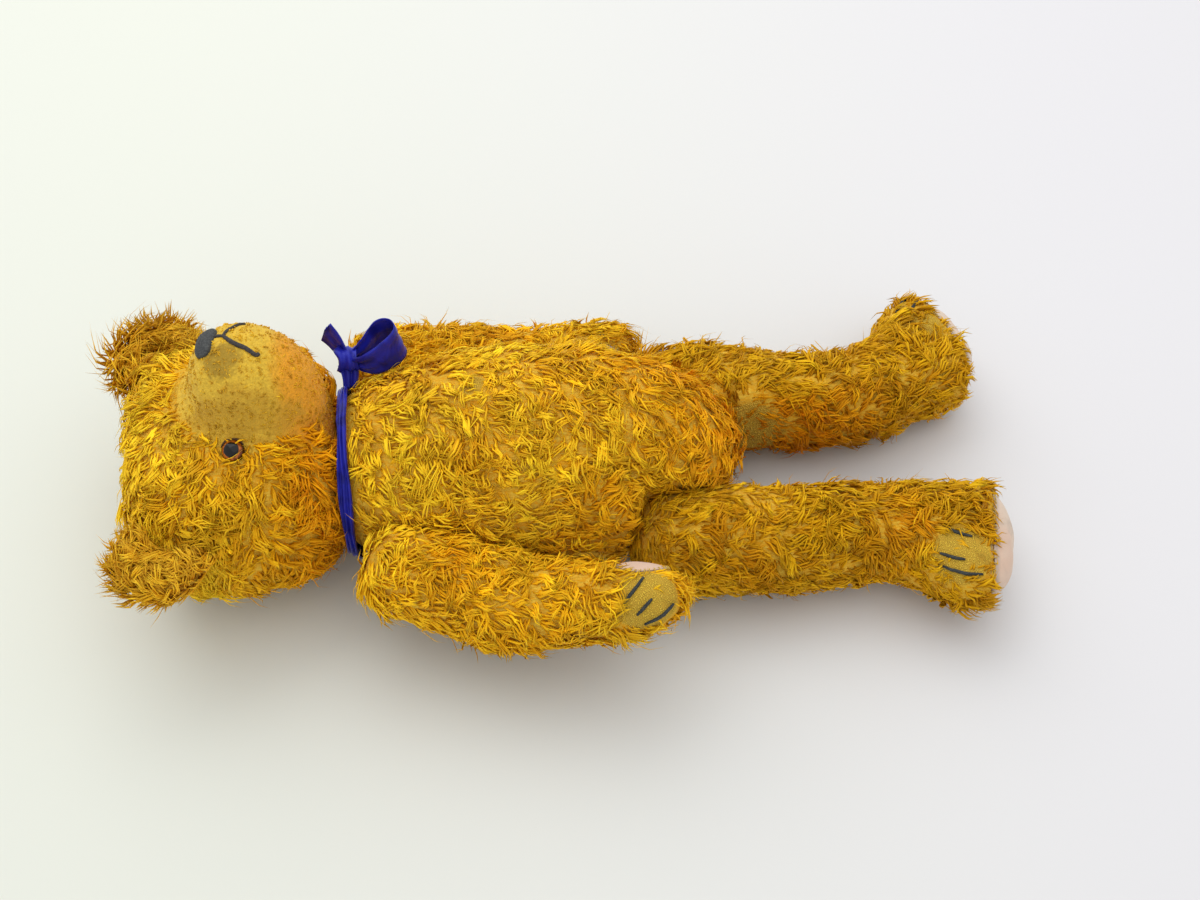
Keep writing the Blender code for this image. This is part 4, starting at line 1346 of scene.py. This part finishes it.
@dataclass
class Paw:
    """The felt pad and the three stitched claws of one hand or foot.

    Attributes:
        name: The paw's name.
        limb: The skin that they are sewn to.
        claws: Points along each claw, near the skin.
        share: Size of the felt, as a share of its solid's.
        dome: How high the felt is stuffed.
        thread: Radius of a claw's thread.
        piece: The finished pad.
        out: The pad's outward direction.
        base: The middle of the pad's underside.
        rim: The pad's rim on the skin.
    """

    name: str
    limb: Stuffed
    claws: Sequence[tuple[tuple[float, float, float], ...]]
    share: float = 1.0
    dome: float = 0.0080
    thread: float = 0.00095
    piece: bpy.types.Object = field(init=False)
    out: Vector = field(init=False)
    base: Vector = field(init=False)
    rim: list[Vector] = field(init=False)

    def build(self, felt: bpy.types.Material, stitch: bpy.types.Material, whip: bpy.types.Material) -> None:
        """Build the pad, its whip stitches and the claws."""
        self.pad(felt)
        for number, points in enumerate(self.claws, 1):
            path = smooth_path([Vector(p) for p in points], 14)
            path = [self.limb.on(p, 0.45 * self.thread)[0] for p in path]
            tapers = [0.45 + 0.55 * math.sin(math.pi * (k + 0.7) / 15.4) ** 0.6 for k in range(15)]
            shape = cord_shape(path, [self.thread * taper for taper in tapers])
            claw = as_object(f"{self.name}_claw_{number}", to_mesh(shape), stitch)
            declare(claw, "thread", self.limb.body)
        self.whip_stitches(whip)

    def pad(self, felt: bpy.types.Material) -> None:
        """Build the felt pad: a dome whose rim is drawn down to the skin, with its rim marked."""
        self.rim_line()
        steps = len(self.rim)
        bm = bmesh.new()
        bmesh.ops.create_uvsphere(bm, u_segments=steps, v_segments=24, radius=1.0)
        shares = []
        for vert in bm.verts:
            x, y, z = vert.co
            r = min(math.hypot(x, y), 1.0)
            turn = (math.atan2(y, x) / (2 * math.pi) % 1.0) * steps
            near_rim, share = int(turn) % steps, turn % 1.0
            edge = self.rim[near_rim].lerp(self.rim[(near_rim + 1) % steps], share)
            height = self.dome * (1 - r**2.6) ** 0.8 if z > 0 else -0.0012 * (1 - r**2)
            vert.co = self.base.lerp(edge, r) + height * self.out
            shares.append(r if z > 0 else 1.0)
        mesh = to_mesh(bm, outward=False)
        points = points_of(mesh)
        points += normals_of(mesh) * (0.0005 * ripple(points, 0.012, 11))[:, None]
        points[:, 2] = np.maximum(points[:, 2], FLOOR_GAP)
        set_points(mesh, points)
        set_layer(mesh, "rim", rise(np.array(shares), 0.82, 1.0))
        self.piece = as_object(f"{self.name}_felt_pad", mesh, felt)
        declare(self.piece, "felt", self.limb.body, f"{self.name}_pad")

    def rim_line(self, steps: int = 56) -> None:
        """Find the pad's middle, its outward direction and its rim on the skin.

        Args:
            steps: How many points the rim has.
        """
        points = points_of(frame["nodes"][f"{self.name}_pad"].data)
        middle = (points.max(axis=0) + points.min(axis=0)) / 2
        spread = np.linalg.eigh(np.cov((points - middle).T))[1]
        self.out = Vector(spread[:, 0])
        if self.out.dot(Vector(middle) - self.limb.middle()) < 0:
            self.out.negate()
        across, along = Vector(spread[:, 1]), self.out.cross(Vector(spread[:, 1]))
        flat = (points - middle) @ np.array([tuple(across), tuple(along)]).T
        turns = 2 * math.pi * np.arange(steps) / steps
        ways = np.stack([np.cos(turns), np.sin(turns)], axis=1)
        support = (flat @ ways.T).max(axis=0)
        facing = np.clip(ways @ ways.T, 1e-3, None)
        reach = np.where(ways @ ways.T > 0.3, support[None, :] / facing, 1.0).min(axis=1)
        self.base = self.limb.on(middle, -0.0002)[0]
        rim = []
        for r, (x, y) in zip(reach.tolist(), ways.tolist()):
            place = Vector(middle) + (self.share * r) * (across * x + along * y)
            rim.append(self.limb.on(place, 0.0003)[0])
        self.rim = [(rim[k - 1] + 2 * rim[k] + rim[(k + 1) % steps]) / 4 for k in range(steps)]

    def whip_stitches(self, whip: bpy.types.Material) -> None:
        """Sew the pad's rim with short slanting stitches."""
        total = len(self.rim)
        bm = bmesh.new()
        for k in range(0, total, 1 if "foot" in self.name else 2):
            edge = self.rim[k]
            away = (edge - self.base - (edge - self.base).dot(self.out) * self.out).normalized()
            around = self.out.cross(away)
            start, up = self.limb.on(edge + 0.0016 * away, 0.0003)
            finish = edge - 0.0014 * away + 0.0012 * self.out + 0.0010 * around
            hump = (start + finish) / 2 + 0.0008 * (up + self.out).normalized()
            thin, thick = 0.0002, 0.00035
            stitch = cord_shape(smooth_path([start, hump, finish], 4), [thin, thick, thick, thick, thin], 5)
            single = to_mesh(stitch)
            bm.from_mesh(single)
            bpy.data.meshes.remove(single)
        piece = as_object(f"{self.name}_whip_stitches", to_mesh(bm, outward=False), whip)
        declare(piece, "thread", self.limb.body)


@dataclass
class Ribbon:
    """The satin ribbon: a gathered band round the neck, its knot, one loop and a cut end.

    Attributes:
        satin: Its material.
        chest: The skin that it lies on.
        width: The ribbon's width.
        bow_angle: Place of the bow round the neck, from the front to the bear's left.
        bow_r: Distance of the bow from the neck's axis.
        bow_x: Distance of the bow from the neck's plane.
        band_x: Distance of the band from the neck's plane.
        band_r: Radius of the band.
        neck_x: The neck's plane.
        neck_z: Height of the neck's axis.
        wall: Thickness of the satin.
        loop_line: Middle of the loop from the knot, and its share of the full width.
        loop_scale: How much larger the loop is than its line.
        loop_across: Direction of the loop's width.
        end_tip: Tip of the cut end, from the knot.
        end_across: Direction of the cut end's width.
        outward: Direction from the neck's axis to the bow.
        aside: Direction round the neck at the bow.
        feet: Direction to the feet.
        middle: Middle of the knot.
    """

    satin: bpy.types.Material
    chest: Stuffed
    width: float = 0.0205
    bow_angle: float = math.radians(46)
    bow_r: float = 0.0605
    bow_x: float = 0.0072
    band_x: float = 0.0042
    band_r: float = 0.0452
    neck_x: float = -0.1345
    neck_z: float = 0.0570
    wall: float = 0.00035
    loop_line: tuple[tuple[tuple[float, float, float], float], ...] = (
        ((0.0, 0.0, 0.0), 0.30), ((0.0079, 0.0033, 0.0016), 0.74), ((0.0127, 0.0076, 0.0024), 0.96),
        ((0.0164, 0.0122, 0.0029), 1.0), ((0.0205, 0.0133, 0.0038), 1.0), ((0.0246, 0.0109, 0.0050), 1.0),
        ((0.0267, 0.0057, 0.0060), 1.0), ((0.0249, 0.0007, 0.0060), 1.0), ((0.0194, -0.0038, 0.0050), 0.98),
        ((0.0122, -0.0068, 0.0036), 0.80), ((0.0063, -0.0060, 0.0022), 0.52), ((0.0, 0.0, 0.0), 0.30),
    )
    loop_scale: float = 1.1
    loop_across: tuple[float, float, float] = (-0.233, 0.084, 0.967)
    end_tip: tuple[float, float, float] = (-0.0112, 0.0118, 0.0112)
    end_across: tuple[float, float, float] = (-0.50, 0.20, -0.84)
    outward: Vector = field(init=False)
    aside: Vector = field(init=False)
    feet: Vector = field(init=False)
    middle: Vector = field(init=False)

    def build(self) -> None:
        """Build and declare every piece."""
        self.outward = Vector((0, math.sin(self.bow_angle), math.cos(self.bow_angle)))
        self.aside = Vector((0, math.cos(self.bow_angle), -math.sin(self.bow_angle)))
        self.feet = Vector((1, 0, 0))
        self.middle = Vector((self.neck_x + self.bow_x, 0, self.neck_z)) + self.bow_r * self.outward
        pieces = [self.band(), self.loop(), self.end(), self.knot(), self.root()]
        for piece, held in zip(pieces, ("gathered", "folded", "hung", "gathered", "gathered")):
            self.hang(piece)

    def hang(self, piece: bpy.types.Object) -> None:
        """Declare one piece of the ribbon on the torso, and log its size laid flat."""
        bm = bmesh.new()
        bm.from_mesh(piece.data)
        area = sum(face.calc_area() for face in bm.faces) / 2
        bm.free()
        wide = self.width if area > 4e-4 else self.width / 2
        area / wide
        is_band = piece.name == "ribbon_band"
        declare(piece, "satin", "torso", *(["neck_ribbon"] if is_band else []))
        if not is_band:
            anchor = self.middle - 0.004 * self.outward
            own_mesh(piece)
        LOG.info("%s lies flat at %.0f by %.0f mm", piece.name, 1e3 * wide, 1e3 * area / wide)

    def strip(self, name: str, stations: Sequence[tuple[Vector, Vector, float]], around: bool = False,
              pleats: float = 0.0, cells: int = 12, rest: bool = False) -> bpy.types.Object:
        """Build a strip of satin.

        Args:
            name: The piece's name.
            stations: The middle of the strip, its width's direction and its half width, along it.
            around: True where it closes on itself.
            pleats: Depth of its folds where it is gathered to a point.
            cells: How many cells it has across.
            rest: True to lift it off the chest where it would sink in.

        Returns:
            The piece.
        """
        bm = bmesh.new()
        rows = []
        total = len(stations)
        for k, (place, across, half) in enumerate(stations):
            after = stations[(k + 1) % total if around else min(k + 1, total - 1)][0]
            before = stations[(k - 1) % total if around else max(k - 1, 0)][0]
            normal = (after - before).normalized().cross(across).normalized()
            row = []
            depth = pleats * min(0.0045 / half, 1.6) ** 1.5
            for i in range(cells + 1):
                t = 2 * i / cells - 1
                fold = math.sin(t * 7.0 + 0.6 * math.sin(k * 0.35)) + 0.15 * math.sin(t * 17 + k * 0.2)
                fold *= depth
                point = place + across * (t * half) + normal * fold
                if rest:
                    spot, up, _, _ = self.chest.tree.find_nearest(point)
                    sunk = 0.0030 - (point - spot).dot(up)
                    point += max(sunk, 0.0) * up
                row.append(bm.verts.new(point))
            rows.append([bm.edges.new((row[i], row[i + 1])) for i in range(cells)])
        pairs = list(zip(rows, rows[1:])) + ([(rows[-1], rows[0])] if around else [])
        for first, second in pairs:
            bmesh.ops.bridge_loops(bm, edges=first + second)
        bmesh.ops.recalc_face_normals(bm, faces=bm.faces)
        bmesh.ops.solidify(bm, geom=bm.faces[:] + bm.edges[:] + bm.verts[:], thickness=self.wall)
        return as_object(name, to_mesh(bm), self.satin)

    def band(self) -> bpy.types.Object:
        """Build the band in the groove of the neck, gathered into soft pleats."""
        stations = []
        for k in range(96):
            angle = 2 * math.pi * k / 96
            out = Vector((0, math.sin(angle), math.cos(angle)))
            away = self.band_r + 0.0007 * math.sin(angle * 3 + 1)
            place = Vector((self.neck_x + self.band_x, 0, self.neck_z)) + away * out
            lean = 0.50 + 0.35 * math.sin(angle * 2 + 0.8)
            across = (self.feet + lean * out).normalized()
            stations.append((place, across, 0.0029 + 0.0005 * math.sin(angle * 5)))
        return self.strip("ribbon_band", stations, around=True, pleats=0.0006)

    def loop(self) -> bpy.types.Object:
        """Build the one loop of the bow, which stands on its edge over the chest."""
        across = Vector(self.loop_across).normalized()
        places, widths = zip(*self.loop_line)
        line = smooth_path([Vector(place) for place in places], 66)
        shares = np.interp(np.linspace(0, len(places) - 1, len(line)), range(len(places)), widths)
        stations = [
            (self.middle + self.loop_scale * place, across, 0.5 * self.width * share)
            for place, share in zip(line, shares)
        ]
        return self.strip("ribbon_loop", stations, pleats=0.0010, rest=True)

    def end(self) -> bpy.types.Object:
        """Build the cut end that stands out past the chin, its corner cut to a point."""
        stations = []
        across = Vector(self.end_across).normalized()
        for k in range(21):
            t = k / 20
            place = self.middle + Vector(self.end_tip) * t + 0.0014 * math.sin(math.pi * t) * self.outward
            half = 0.0030 + 0.0056 * t**0.6
            if k >= 18:
                place -= across * 0.0018 * (k - 17)
                half -= 0.0018 * (k - 17)
            stations.append((place, across, half))
        return self.strip("ribbon_end", stations, pleats=0.0006)

    def knot(self) -> bpy.types.Object:
        """Build the knot: a turn of satin pulled tight round the loop and the end."""
        stations = []
        for k in range(40):
            t = 2 * math.pi * k / 40
            place = self.middle + 0.0068 * math.cos(t) * self.aside + 0.0066 * math.sin(t) * self.outward
            place += 0.0008 * math.sin(2 * t + 1) * self.feet
            across = (self.feet + 0.22 * math.sin(t) * self.aside).normalized()
            stations.append((place, across, 0.0054 + 0.0006 * math.cos(3 * t)))
        return self.strip("ribbon_knot", stations, around=True, pleats=0.0009)

    def root(self) -> bpy.types.Object:
        """Build the short stretch from the band up into the knot."""
        stations = []
        for k in range(13):
            t = k / 12
            place = self.middle - (0.0155 - 0.0125 * t) * self.outward
            place += 0.0010 * math.sin(math.pi * t) * self.feet
            across = (self.feet + 0.35 * (1 - t) * self.aside).normalized()
            stations.append((place - 0.0012 * self.aside, across, 0.0036 + 0.0016 * t))
        return self.strip("ribbon_root", stations, pleats=0.0010)


# ---- the whole bear -----------------------------------------------------------------------------
@dataclass
class Bear:
    """Every soft part of the bear, from its skins to its pile.

    Attributes:
        skins: The stuffed skins by the names of their parts.
        pads: The felt pads by the names of their limbs.
    """

    skins: dict[str, Stuffed] = field(default_factory=dict)
    pads: dict[str, bpy.types.Object] = field(default_factory=dict)

    def build(self) -> None:
        """Build the skins, the pieces sewn to them and the pile."""
        backing = Backing("mohair_backing").material()
        shorn = ShornPile("shorn_muzzle_pile").material()
        parts = ["torso", "head"] + [f"{side}_{limb}" for limb in ("arm", "leg") for side in SIDES]
        for seed, name in enumerate(parts, 1):
            self.skins[name] = Stuffed(name, name, f"{name}_cover", backing, seed=seed).build()
        for seed, side in enumerate(SIDES, 11):
            ear = Stuffed(f"{side}_ear", "head", f"{side}_ear", backing, 0.0030, 0.0006, 0.3, seed)
            self.skins[ear.name] = ear.build()
        self.dress_skins(shorn)
        Face(self.skins["head"]).build()
        self.paws()
        Ribbon(Satin("royal_blue_satin").material(), self.skins["torso"]).build()
        self.grow()

    def dress_skins(self, shorn: bpy.types.Material) -> None:
        """Mark the worn places of each skin, and give the muzzle its shorn pile."""
        for name, skin in self.skins.items():
            mesh = skin.piece.data
            points = points_of(mesh)
            set_layer(mesh, "worn", worn_share(name, points))
            if name == "head":
                far = in_muzzle(points)
                chin = rise(points[:, 0], -0.175, -0.145)
                flank = rise(0.009 - points[:, 1], 0.002, 0.022) * rise(points[:, 2], 0.100, 0.125)
                set_layer(mesh, "chin", chin)
                set_layer(mesh, "flank", flank)
                set_layer(mesh, "grime", near(points, (-0.184, 0.006, 0.150), 0.005, 0.018))
                mesh.materials.append(shorn)
                for polygon in mesh.polygons:
                    if max(far[corner] for corner in polygon.vertices) < 1.20 and polygon.center.z > 0.085:
                        polygon.material_index = 1

    def paws(self) -> None:
        """Build the pads and claws of the hands and the feet."""
        felt = Felt("pale_felt").material()
        stitch = Thread("claw_thread", (0.022, 0.026, 0.026), (0.080, 0.088, 0.082)).material()
        whip = Thread("pad_thread", (0.520, 0.340, 0.050), (0.700, 0.520, 0.140)).material()
        claws = {
            "right_paw": (
                ((0.0180, -0.0990, 0.0880), (0.0116, -0.1065, 0.0853), (0.0057, -0.1118, 0.0795)),
                ((0.0211, -0.1113, 0.0851), (0.0174, -0.1138, 0.0821), (0.0132, -0.1165, 0.0785)),
                ((0.0325, -0.1130, 0.0814), (0.0270, -0.1178, 0.0785), (0.0171, -0.1190, 0.0725)),
            ),
            "right_foot": (
                ((0.1826, -0.0642, 0.0565), (0.1892, -0.0678, 0.0573), (0.1960, -0.0704, 0.0573)),
                ((0.1779, -0.0771, 0.0527), (0.1838, -0.0811, 0.0542), (0.1899, -0.0836, 0.0554)),
                ((0.1780, -0.0837, 0.0504), (0.1868, -0.0905, 0.0530), (0.1981, -0.0920, 0.0528)),
            ),
            "left_foot": (
                ((0.1881, 0.0977, 0.0434), (0.1939, 0.1061, 0.0395), (0.1998, 0.1129, 0.0365)),
                ((0.1960, 0.0930, 0.0440), (0.2010, 0.1010, 0.0410), (0.2050, 0.1090, 0.0370)),
                ((0.2020, 0.1160, 0.0340), (0.2060, 0.1150, 0.0330), (0.2110, 0.1140, 0.0320)),
            ),
        }
        for name in ("right_paw", "left_paw", "right_foot", "left_foot"):
            limb = self.skins[name.replace("paw", "arm").replace("foot", "leg")]
            size = (0.84, 0.0026) if "paw" in name else (1.0, 0.0125)
            paw = Paw(name, limb, claws.get(name) or self.mirrored_claws(claws["right_paw"]), *size)
            paw.build(felt, stitch, whip)
            self.pads[limb.name] = paw.piece

    def mirrored_claws(self, claws: Sequence[Any]) -> list[tuple[tuple[float, ...], ...]]:
        """Return the claws of the left paw, carried over from the right one in the arms' own frames."""
        carry = self.paw_place("left") @ Matrix.Diagonal((1, -1, 1, 1)) @ self.paw_place("right").inverted()
        return [tuple(tuple(carry @ Vector(p)) for p in line) for line in claws]

    def paw_place(self, side: str) -> Matrix:
        """Return the place of a paw: at its pad, up out of the pad, along to the shoulder."""
        pad = middle_of(f"{side}_paw_pad")
        points = points_of(frame["nodes"][f"{side}_paw_pad"].data)
        flat = Vector(np.linalg.eigh(np.cov((points - points.mean(0)).T))[1][:, 0])
        if flat.dot(pad - self.skins[f"{side}_arm"].middle()) < 0:
            flat.negate()
        return axis_place(pad, flat, Vector(JOINTS[f"{side}_shoulder"]["pos_m"]) - pad)

    def grow(self) -> None:
        """Plant the pile on every skin."""
        gold = Mohair("gold_mohair").material()
        # Olive hue, drawn darker than the gold as painted shade on the legs and the underside.
        olive = Mohair(
            "olive_mohair", (0.500, 0.210, 0.0015), (0.680, 0.340, 0.0035), (0.820, 0.480, 0.0140),
            (0.800, 0.480, 0.0140), (0.760, 0.250, 0.0020), (0.330, 0.140, 0.0040),
        ).material()
        brown = Mohair(
            "brown_gold_mohair", (0.500, 0.190, 0.0020), (0.780, 0.380, 0.0080), (0.930, 0.560, 0.0320),
            (0.930, 0.600, 0.0400), (0.700, 0.250, 0.0030), (0.240, 0.085, 0.0040),
        ).material()
        shorn = Mohair(
            "muzzle_mohair", (0.620, 0.340, 0.0200), (0.780, 0.450, 0.0300), (0.880, 0.560, 0.0500),
            (0.880, 0.580, 0.0500), (0.860, 0.360, 0.0120), (0.440, 0.250, 0.0180),
        ).material()
        skins = self.skins
        torso, head = skins["torso"], skins["head"]
        limbs = [skins[f"{side}_{limb}"] for limb in ("arm", "leg") for side in SIDES]
        belly = self.plan("torso", torso_lay, 0.0125)
        Pile("belly_pile", torso, belly, gold, 14000, 21, [head, *limbs],
             lambda p, out: (out[:, 2] > UNDERSIDE).astype(float)).build()
        # The underside takes the darker olive finish as painted shade.
        Pile("back_pile", torso, belly, olive, 7500, 22, [head, *limbs],
             lambda p, out: (out[:, 2] <= UNDERSIDE).astype(float)).build()
        face = self.plan("head", head_lay, 0.0125, stand=0.24)
        Pile("head_pile", head, face, gold, 13500, 31, [torso]).build()
        nap = Plan(
            head_lay, even(0.0034), lambda p, out: (in_muzzle(p) < 1.24) * (p[:, 2] > 0.085) * 0.8,
            lambda p, out: 0.6 * rise(p[:, 0], -0.170, -0.140),
            # Darker towards the bear's right side of the muzzle.
            lambda p, out: 0.4 * rise(0.012 - p[:, 1], 0.0, 0.03),
            width=0.0010, ruffle=1.2, stand=0.5, wisps=0.0, tuft=4, rings=2,
        )
        Pile("muzzle_pile", head, nap, shorn, 24000, 32, [torso]).build()
        for side, sign in SIDES.items():
            lay, longest = EAR_LAYS[side]
            ear = self.plan(f"{side}_ear", steady(*lay), longest, ruffle=0.35, stand=0.24, swirl=(0.012, 0.5))
            Pile(f"{side}_ear_pile", skins[f"{side}_ear"], ear, brown, 2100, 35 + sign, [head]).build()
            arm_lay = along_limb(f"{side}_shoulder", f"{side}_paw_pad", 0.25)
            arm = self.plan(f"{side}_arm", arm_lay, 0.0120, swirl=(0.014, 1.0))
            Pile(f"{side}_arm_pile", skins[f"{side}_arm"], arm, gold, 5600, 41 + sign, [torso, head]).build()
            leg_lay = along_limb(f"{side}_hip", f"{side}_foot_pad", 0.15)
            leg = self.plan(f"{side}_leg", leg_lay, 0.0120, swirl=(0.015, 1.1))
            Pile(f"{side}_leg_pile", skins[f"{side}_leg"], leg, olive, 8400, 51 + sign, [torso]).build()

    def plan(self, name: str, lay: Field, full: float, **changes: Any) -> Plan:
        """Return how a part's pile grows, with its wear and its dye.

        Args:
            name: The part's name.
            lay: Which way its locks lie.
            full: Length of a whole lock in metres.
            changes: Other values of the plan.

        Returns:
            The plan.
        """
        def length(points: np.ndarray, out: np.ndarray) -> np.ndarray:
            """Return the length of each lock, less where it is worn or next to a pad."""
            kept = (1 - 0.60 * worn_share(name, points)) * (1 + 0.18 * ripple(points, 0.03, 5))
            return full * kept * (0.55 + 0.45 * rise(self.pad_gap(name, points), 0.001, 0.010))

        def thick(points: np.ndarray, out: np.ndarray) -> np.ndarray:
            """Return how much of the pile is left."""
            return np.clip(1.05 - worn_share(name, points), 0, 1) * self.bare(name, points)

        return Plan(
            lay, length, thick, lambda points, out: rust_share(name, points, out),
            lambda points, out: dull_share(name, points, out),
            pale=lambda points, out: pale_share(name, points, out), **changes,
        )

    def pad_gap(self, name: str, points: np.ndarray) -> np.ndarray:
        """Return the distance from each place to the part's felt pad."""
        if name not in self.pads:
            return np.full(len(points), 1.0)
        corners = points_of(self.pads[name].data)[::3]
        return np.array([np.linalg.norm(corners - p, axis=1).min() for p in points])

    def bare(self, name: str, points: np.ndarray) -> np.ndarray:
        """Return 0 where a part has no pile at all, and 1 elsewhere."""
        if name == "head":
            cheek = rise(-points[:, 1], -0.004, 0.018) * (1 - rise(points[:, 2], 0.108, 0.128))
            keep = rise(in_muzzle(points) + 0.34 * cheek, 1.12, 1.30)
            for side in SIDES:
                keep *= 1 - near(points, middle_of(f"{side}_eye"), 0.0050, 0.0062)
            return keep
        if name == "torso":
            return rise(points[:, 0], -0.1275, -0.1245)
        return rise(self.pad_gap(name, points), 0.0006, 0.0018)


def worn_share(name: str, points: np.ndarray) -> np.ndarray:
    """Return how worn each place of a part is, from 0 to 1."""
    spots = {
        "torso": (
            ((-0.061, 0.009, 0.115), 0.003, 0.012, 0.9), ((0.020, 0.020, 0.100), 0.004, 0.020, 0.35),
        ),
        "right_arm": (((0.018, -0.112, 0.083), 0.012, 0.021, 1.0),),
        "left_arm": (((0.006, 0.080, 0.060), 0.008, 0.020, 0.6),),
        "right_leg": (((0.188, -0.080, 0.054), 0.011, 0.020, 0.9),),
        "left_leg": (
            ((0.201, 0.079, 0.052), 0.008, 0.018, 0.8), ((0.092, 0.022, 0.038), 0.010, 0.030, 0.8),
        ),
    }
    total = np.zeros(len(points))
    for place, inner, outer, depth in spots.get(name, ()):
        total = np.maximum(total, depth * near(points, place, inner, outer))
    return total


def rust_share(name: str, points: np.ndarray, out: np.ndarray) -> np.ndarray:
    """Return how much of the orange dye each place has kept, from 0 to 1."""
    blotch = rise(ripple(points, 0.030, 71), 0.1, 1.1)
    x, y, _ = points.T
    if name == "torso":
        flank = rise(-y, 0.030, 0.055) * rise(x, -0.05, 0.02)
        return 0.55 * rise(x, 0.020, 0.070) + 0.30 * blotch + 0.30 * flank
    if name == "head":
        return 0.75 * rise(x, -0.175, -0.142) + 0.25 * blotch
    if name == "left_leg":
        inner = rise(0.030 - y + 0.12 * (x - 0.05), 0.0, 0.014) * (1 - rise(x, 0.10, 0.20))
        return 0.90 * inner + 0.12 * blotch
    if name == "right_leg":
        return 0.22 * blotch + 0.35 * near(points, (0.160, -0.055, 0.055), 0.005, 0.025)
    return 0.30 * blotch


def pale_share(name: str, points: np.ndarray, out: np.ndarray) -> np.ndarray:
    """Return how far each place is faded and painted as lit: most on the belly and the crown."""
    blotch = 0.35 * ripple(points, 0.024, 97)
    # Painted light: the pile is paler where it faces up.
    up = rise(out[:, 2], -0.1, 0.7)
    if name == "torso":
        # Painted light on the belly's upper side, most towards the head.
        return up * (0.85 - 0.75 * rise(points[:, 0], -0.080, 0.060)) + blotch
    if name == "head":
        # Painted light on the crown.
        return 0.80 * (1 - rise(points[:, 0], -0.215, -0.165)) + blotch
    return 0.25 * up + blotch


def dull_share(name: str, points: np.ndarray, out: np.ndarray) -> np.ndarray:
    """Return how dark each place is drawn: dirt, and painted shade under the bear, at the seams of the ears
    and in the left leg's crotch.
    """
    blotch = rise(ripple(points, 0.018, 83), 0.3, 1.4)
    # Painted shade where the pile faces the table.
    under = 0.25 * rise(-out[:, 2], 0.2, 0.9)
    if name.endswith("ear"):
        # Painted shade in the crease where the ear meets the head.
        base = HEAD + Vector((-0.030, math.copysign(0.050, points[0, 1]), 0.018))
        return 0.75 * near(points, base, 0.006, 0.020) + 0.2 * blotch
    if name == "torso":
        return under + 0.20 * blotch
    if name == "left_leg":
        # Painted shade in the crotch of the left leg.
        return under + 0.25 * blotch + 0.45 * near(points, (0.085, 0.020, 0.045), 0.010, 0.035)
    return under + 0.22 * blotch


def dress_inside() -> None:
    """Give the hidden stuffing, discs, washers and pins their finishes."""
    wool = Thread("wood_wool", (0.330, 0.220, 0.090), (0.640, 0.480, 0.230), 0.0025).material()
    board = Thread("hardboard", (0.160, 0.085, 0.035), (0.300, 0.180, 0.085), 0.0012).material()
    steel = Graph("dull_steel")
    rust = steel.noise(0.004, 4.0, 0.5).over(0.55, 0.75)
    metal = steel.dress(
        Base_Color=steel.mix(rust, (0.42, 0.42, 0.43), (0.16, 0.07, 0.03)), Metallic=1 - rust * 0.8,
        Roughness=0.32 + rust * 0.4,
    )
    for name, node in frame["nodes"].items():
        look = wool if "stuffing" in name else metal if name.endswith(("washer", "pin")) else board
        if node.data.materials:
            node.data.materials[0] = look
        else:
            node.data.materials.append(look)


# ---- the studio ---------------------------------------------------------------------------------
@dataclass(frozen=True)
class Studio:
    """The white table, the soft light over it and the camera.

    Attributes:
        target: The point that the camera looks at.
        distance: From there to the camera.
        elevation: Its height, as an angle.
        azimuth: Its turn round the bear.
        lens: Focal length on a 36 mm sensor.
    """

    target: tuple[float, float, float] = (0.005, 0.0, 0.060)
    distance: float = 0.95
    elevation: float = math.radians(54)
    azimuth: float = math.radians(-5)
    lens: float = 52.4

    def build(self) -> None:
        """Build the table, the lights and the camera."""
        bm = bmesh.new()
        bmesh.ops.create_grid(bm, x_segments=8, y_segments=8, size=3.0)
        table = as_object("table_top", to_mesh(bm, outward=False), TableTop("white_table").material())
        self.lamp("window", (-0.45, 0.95, 1.30), 1.6, 8.4, (1.0, 0.985, 0.95))
        self.lamp("ceiling", (0.20, 0.15, 1.8), 2.4, 8.4, (1.0, 1.0, 1.0))
        self.sky()
        camera = bpy.data.objects.new("camera", bpy.data.cameras.new("camera"))
        camera.data.lens = self.lens
        camera.data.sensor_width = 36.0
        camera.data.clip_start = 0.01
        e, a = self.elevation, self.azimuth
        back = Vector((math.sin(a) * math.cos(e), -math.cos(a) * math.cos(e), math.sin(e)))
        camera.location = Vector(self.target) + self.distance * back
        camera.rotation_euler = back.to_track_quat("Z", "Y").to_euler()
        bpy.context.scene.collection.objects.link(camera)
        bpy.context.scene.camera = camera
        bpy.context.scene.view_settings.view_transform = "Standard"

    @staticmethod
    def lamp(name: str, place: Sequence[float], size: float, power: float, colour: Colour) -> None:
        """Hang one soft square light that faces the bear."""
        light = bpy.data.lights.new(name, "AREA")
        light.shape = "SQUARE"
        light.size = size
        light.energy = power
        light.color = colour
        lamp = bpy.data.objects.new(name, light)
        lamp.location = place
        lamp.rotation_euler = (Vector(place) - Vector((0, 0, 0.05))).to_track_quat("Z", "Y").to_euler()
        bpy.context.scene.collection.objects.link(lamp)

    @staticmethod
    def sky() -> None:
        """Fill the room with plain pale light, white wherever it is seen."""
        graph = Graph("room", bpy.data.worlds, "Background")
        rays = graph.node("ShaderNodeLightPath", {}, {}).outputs
        seen = Value(graph, rays["Is Camera Ray"])
        for kind in ("Is Glossy Ray", "Is Transmission Ray"):
            seen = graph.maths("MAXIMUM", seen, Value(graph, rays[kind]))
        strength = seen * (ROOM_SEEN - ROOM_LIGHT) + ROOM_LIGHT
        bpy.context.scene.world = graph.dress(Color=(1.0, 1.0, 1.0), Strength=strength)


def main() -> None:
    """Build the bear and the studio in order."""
    logging.basicConfig(level=logging.INFO, format="%(name)s: %(message)s")
    dress_inside()
    Bear().build()
    Studio().build()


if __name__ == "__main__":
    main()
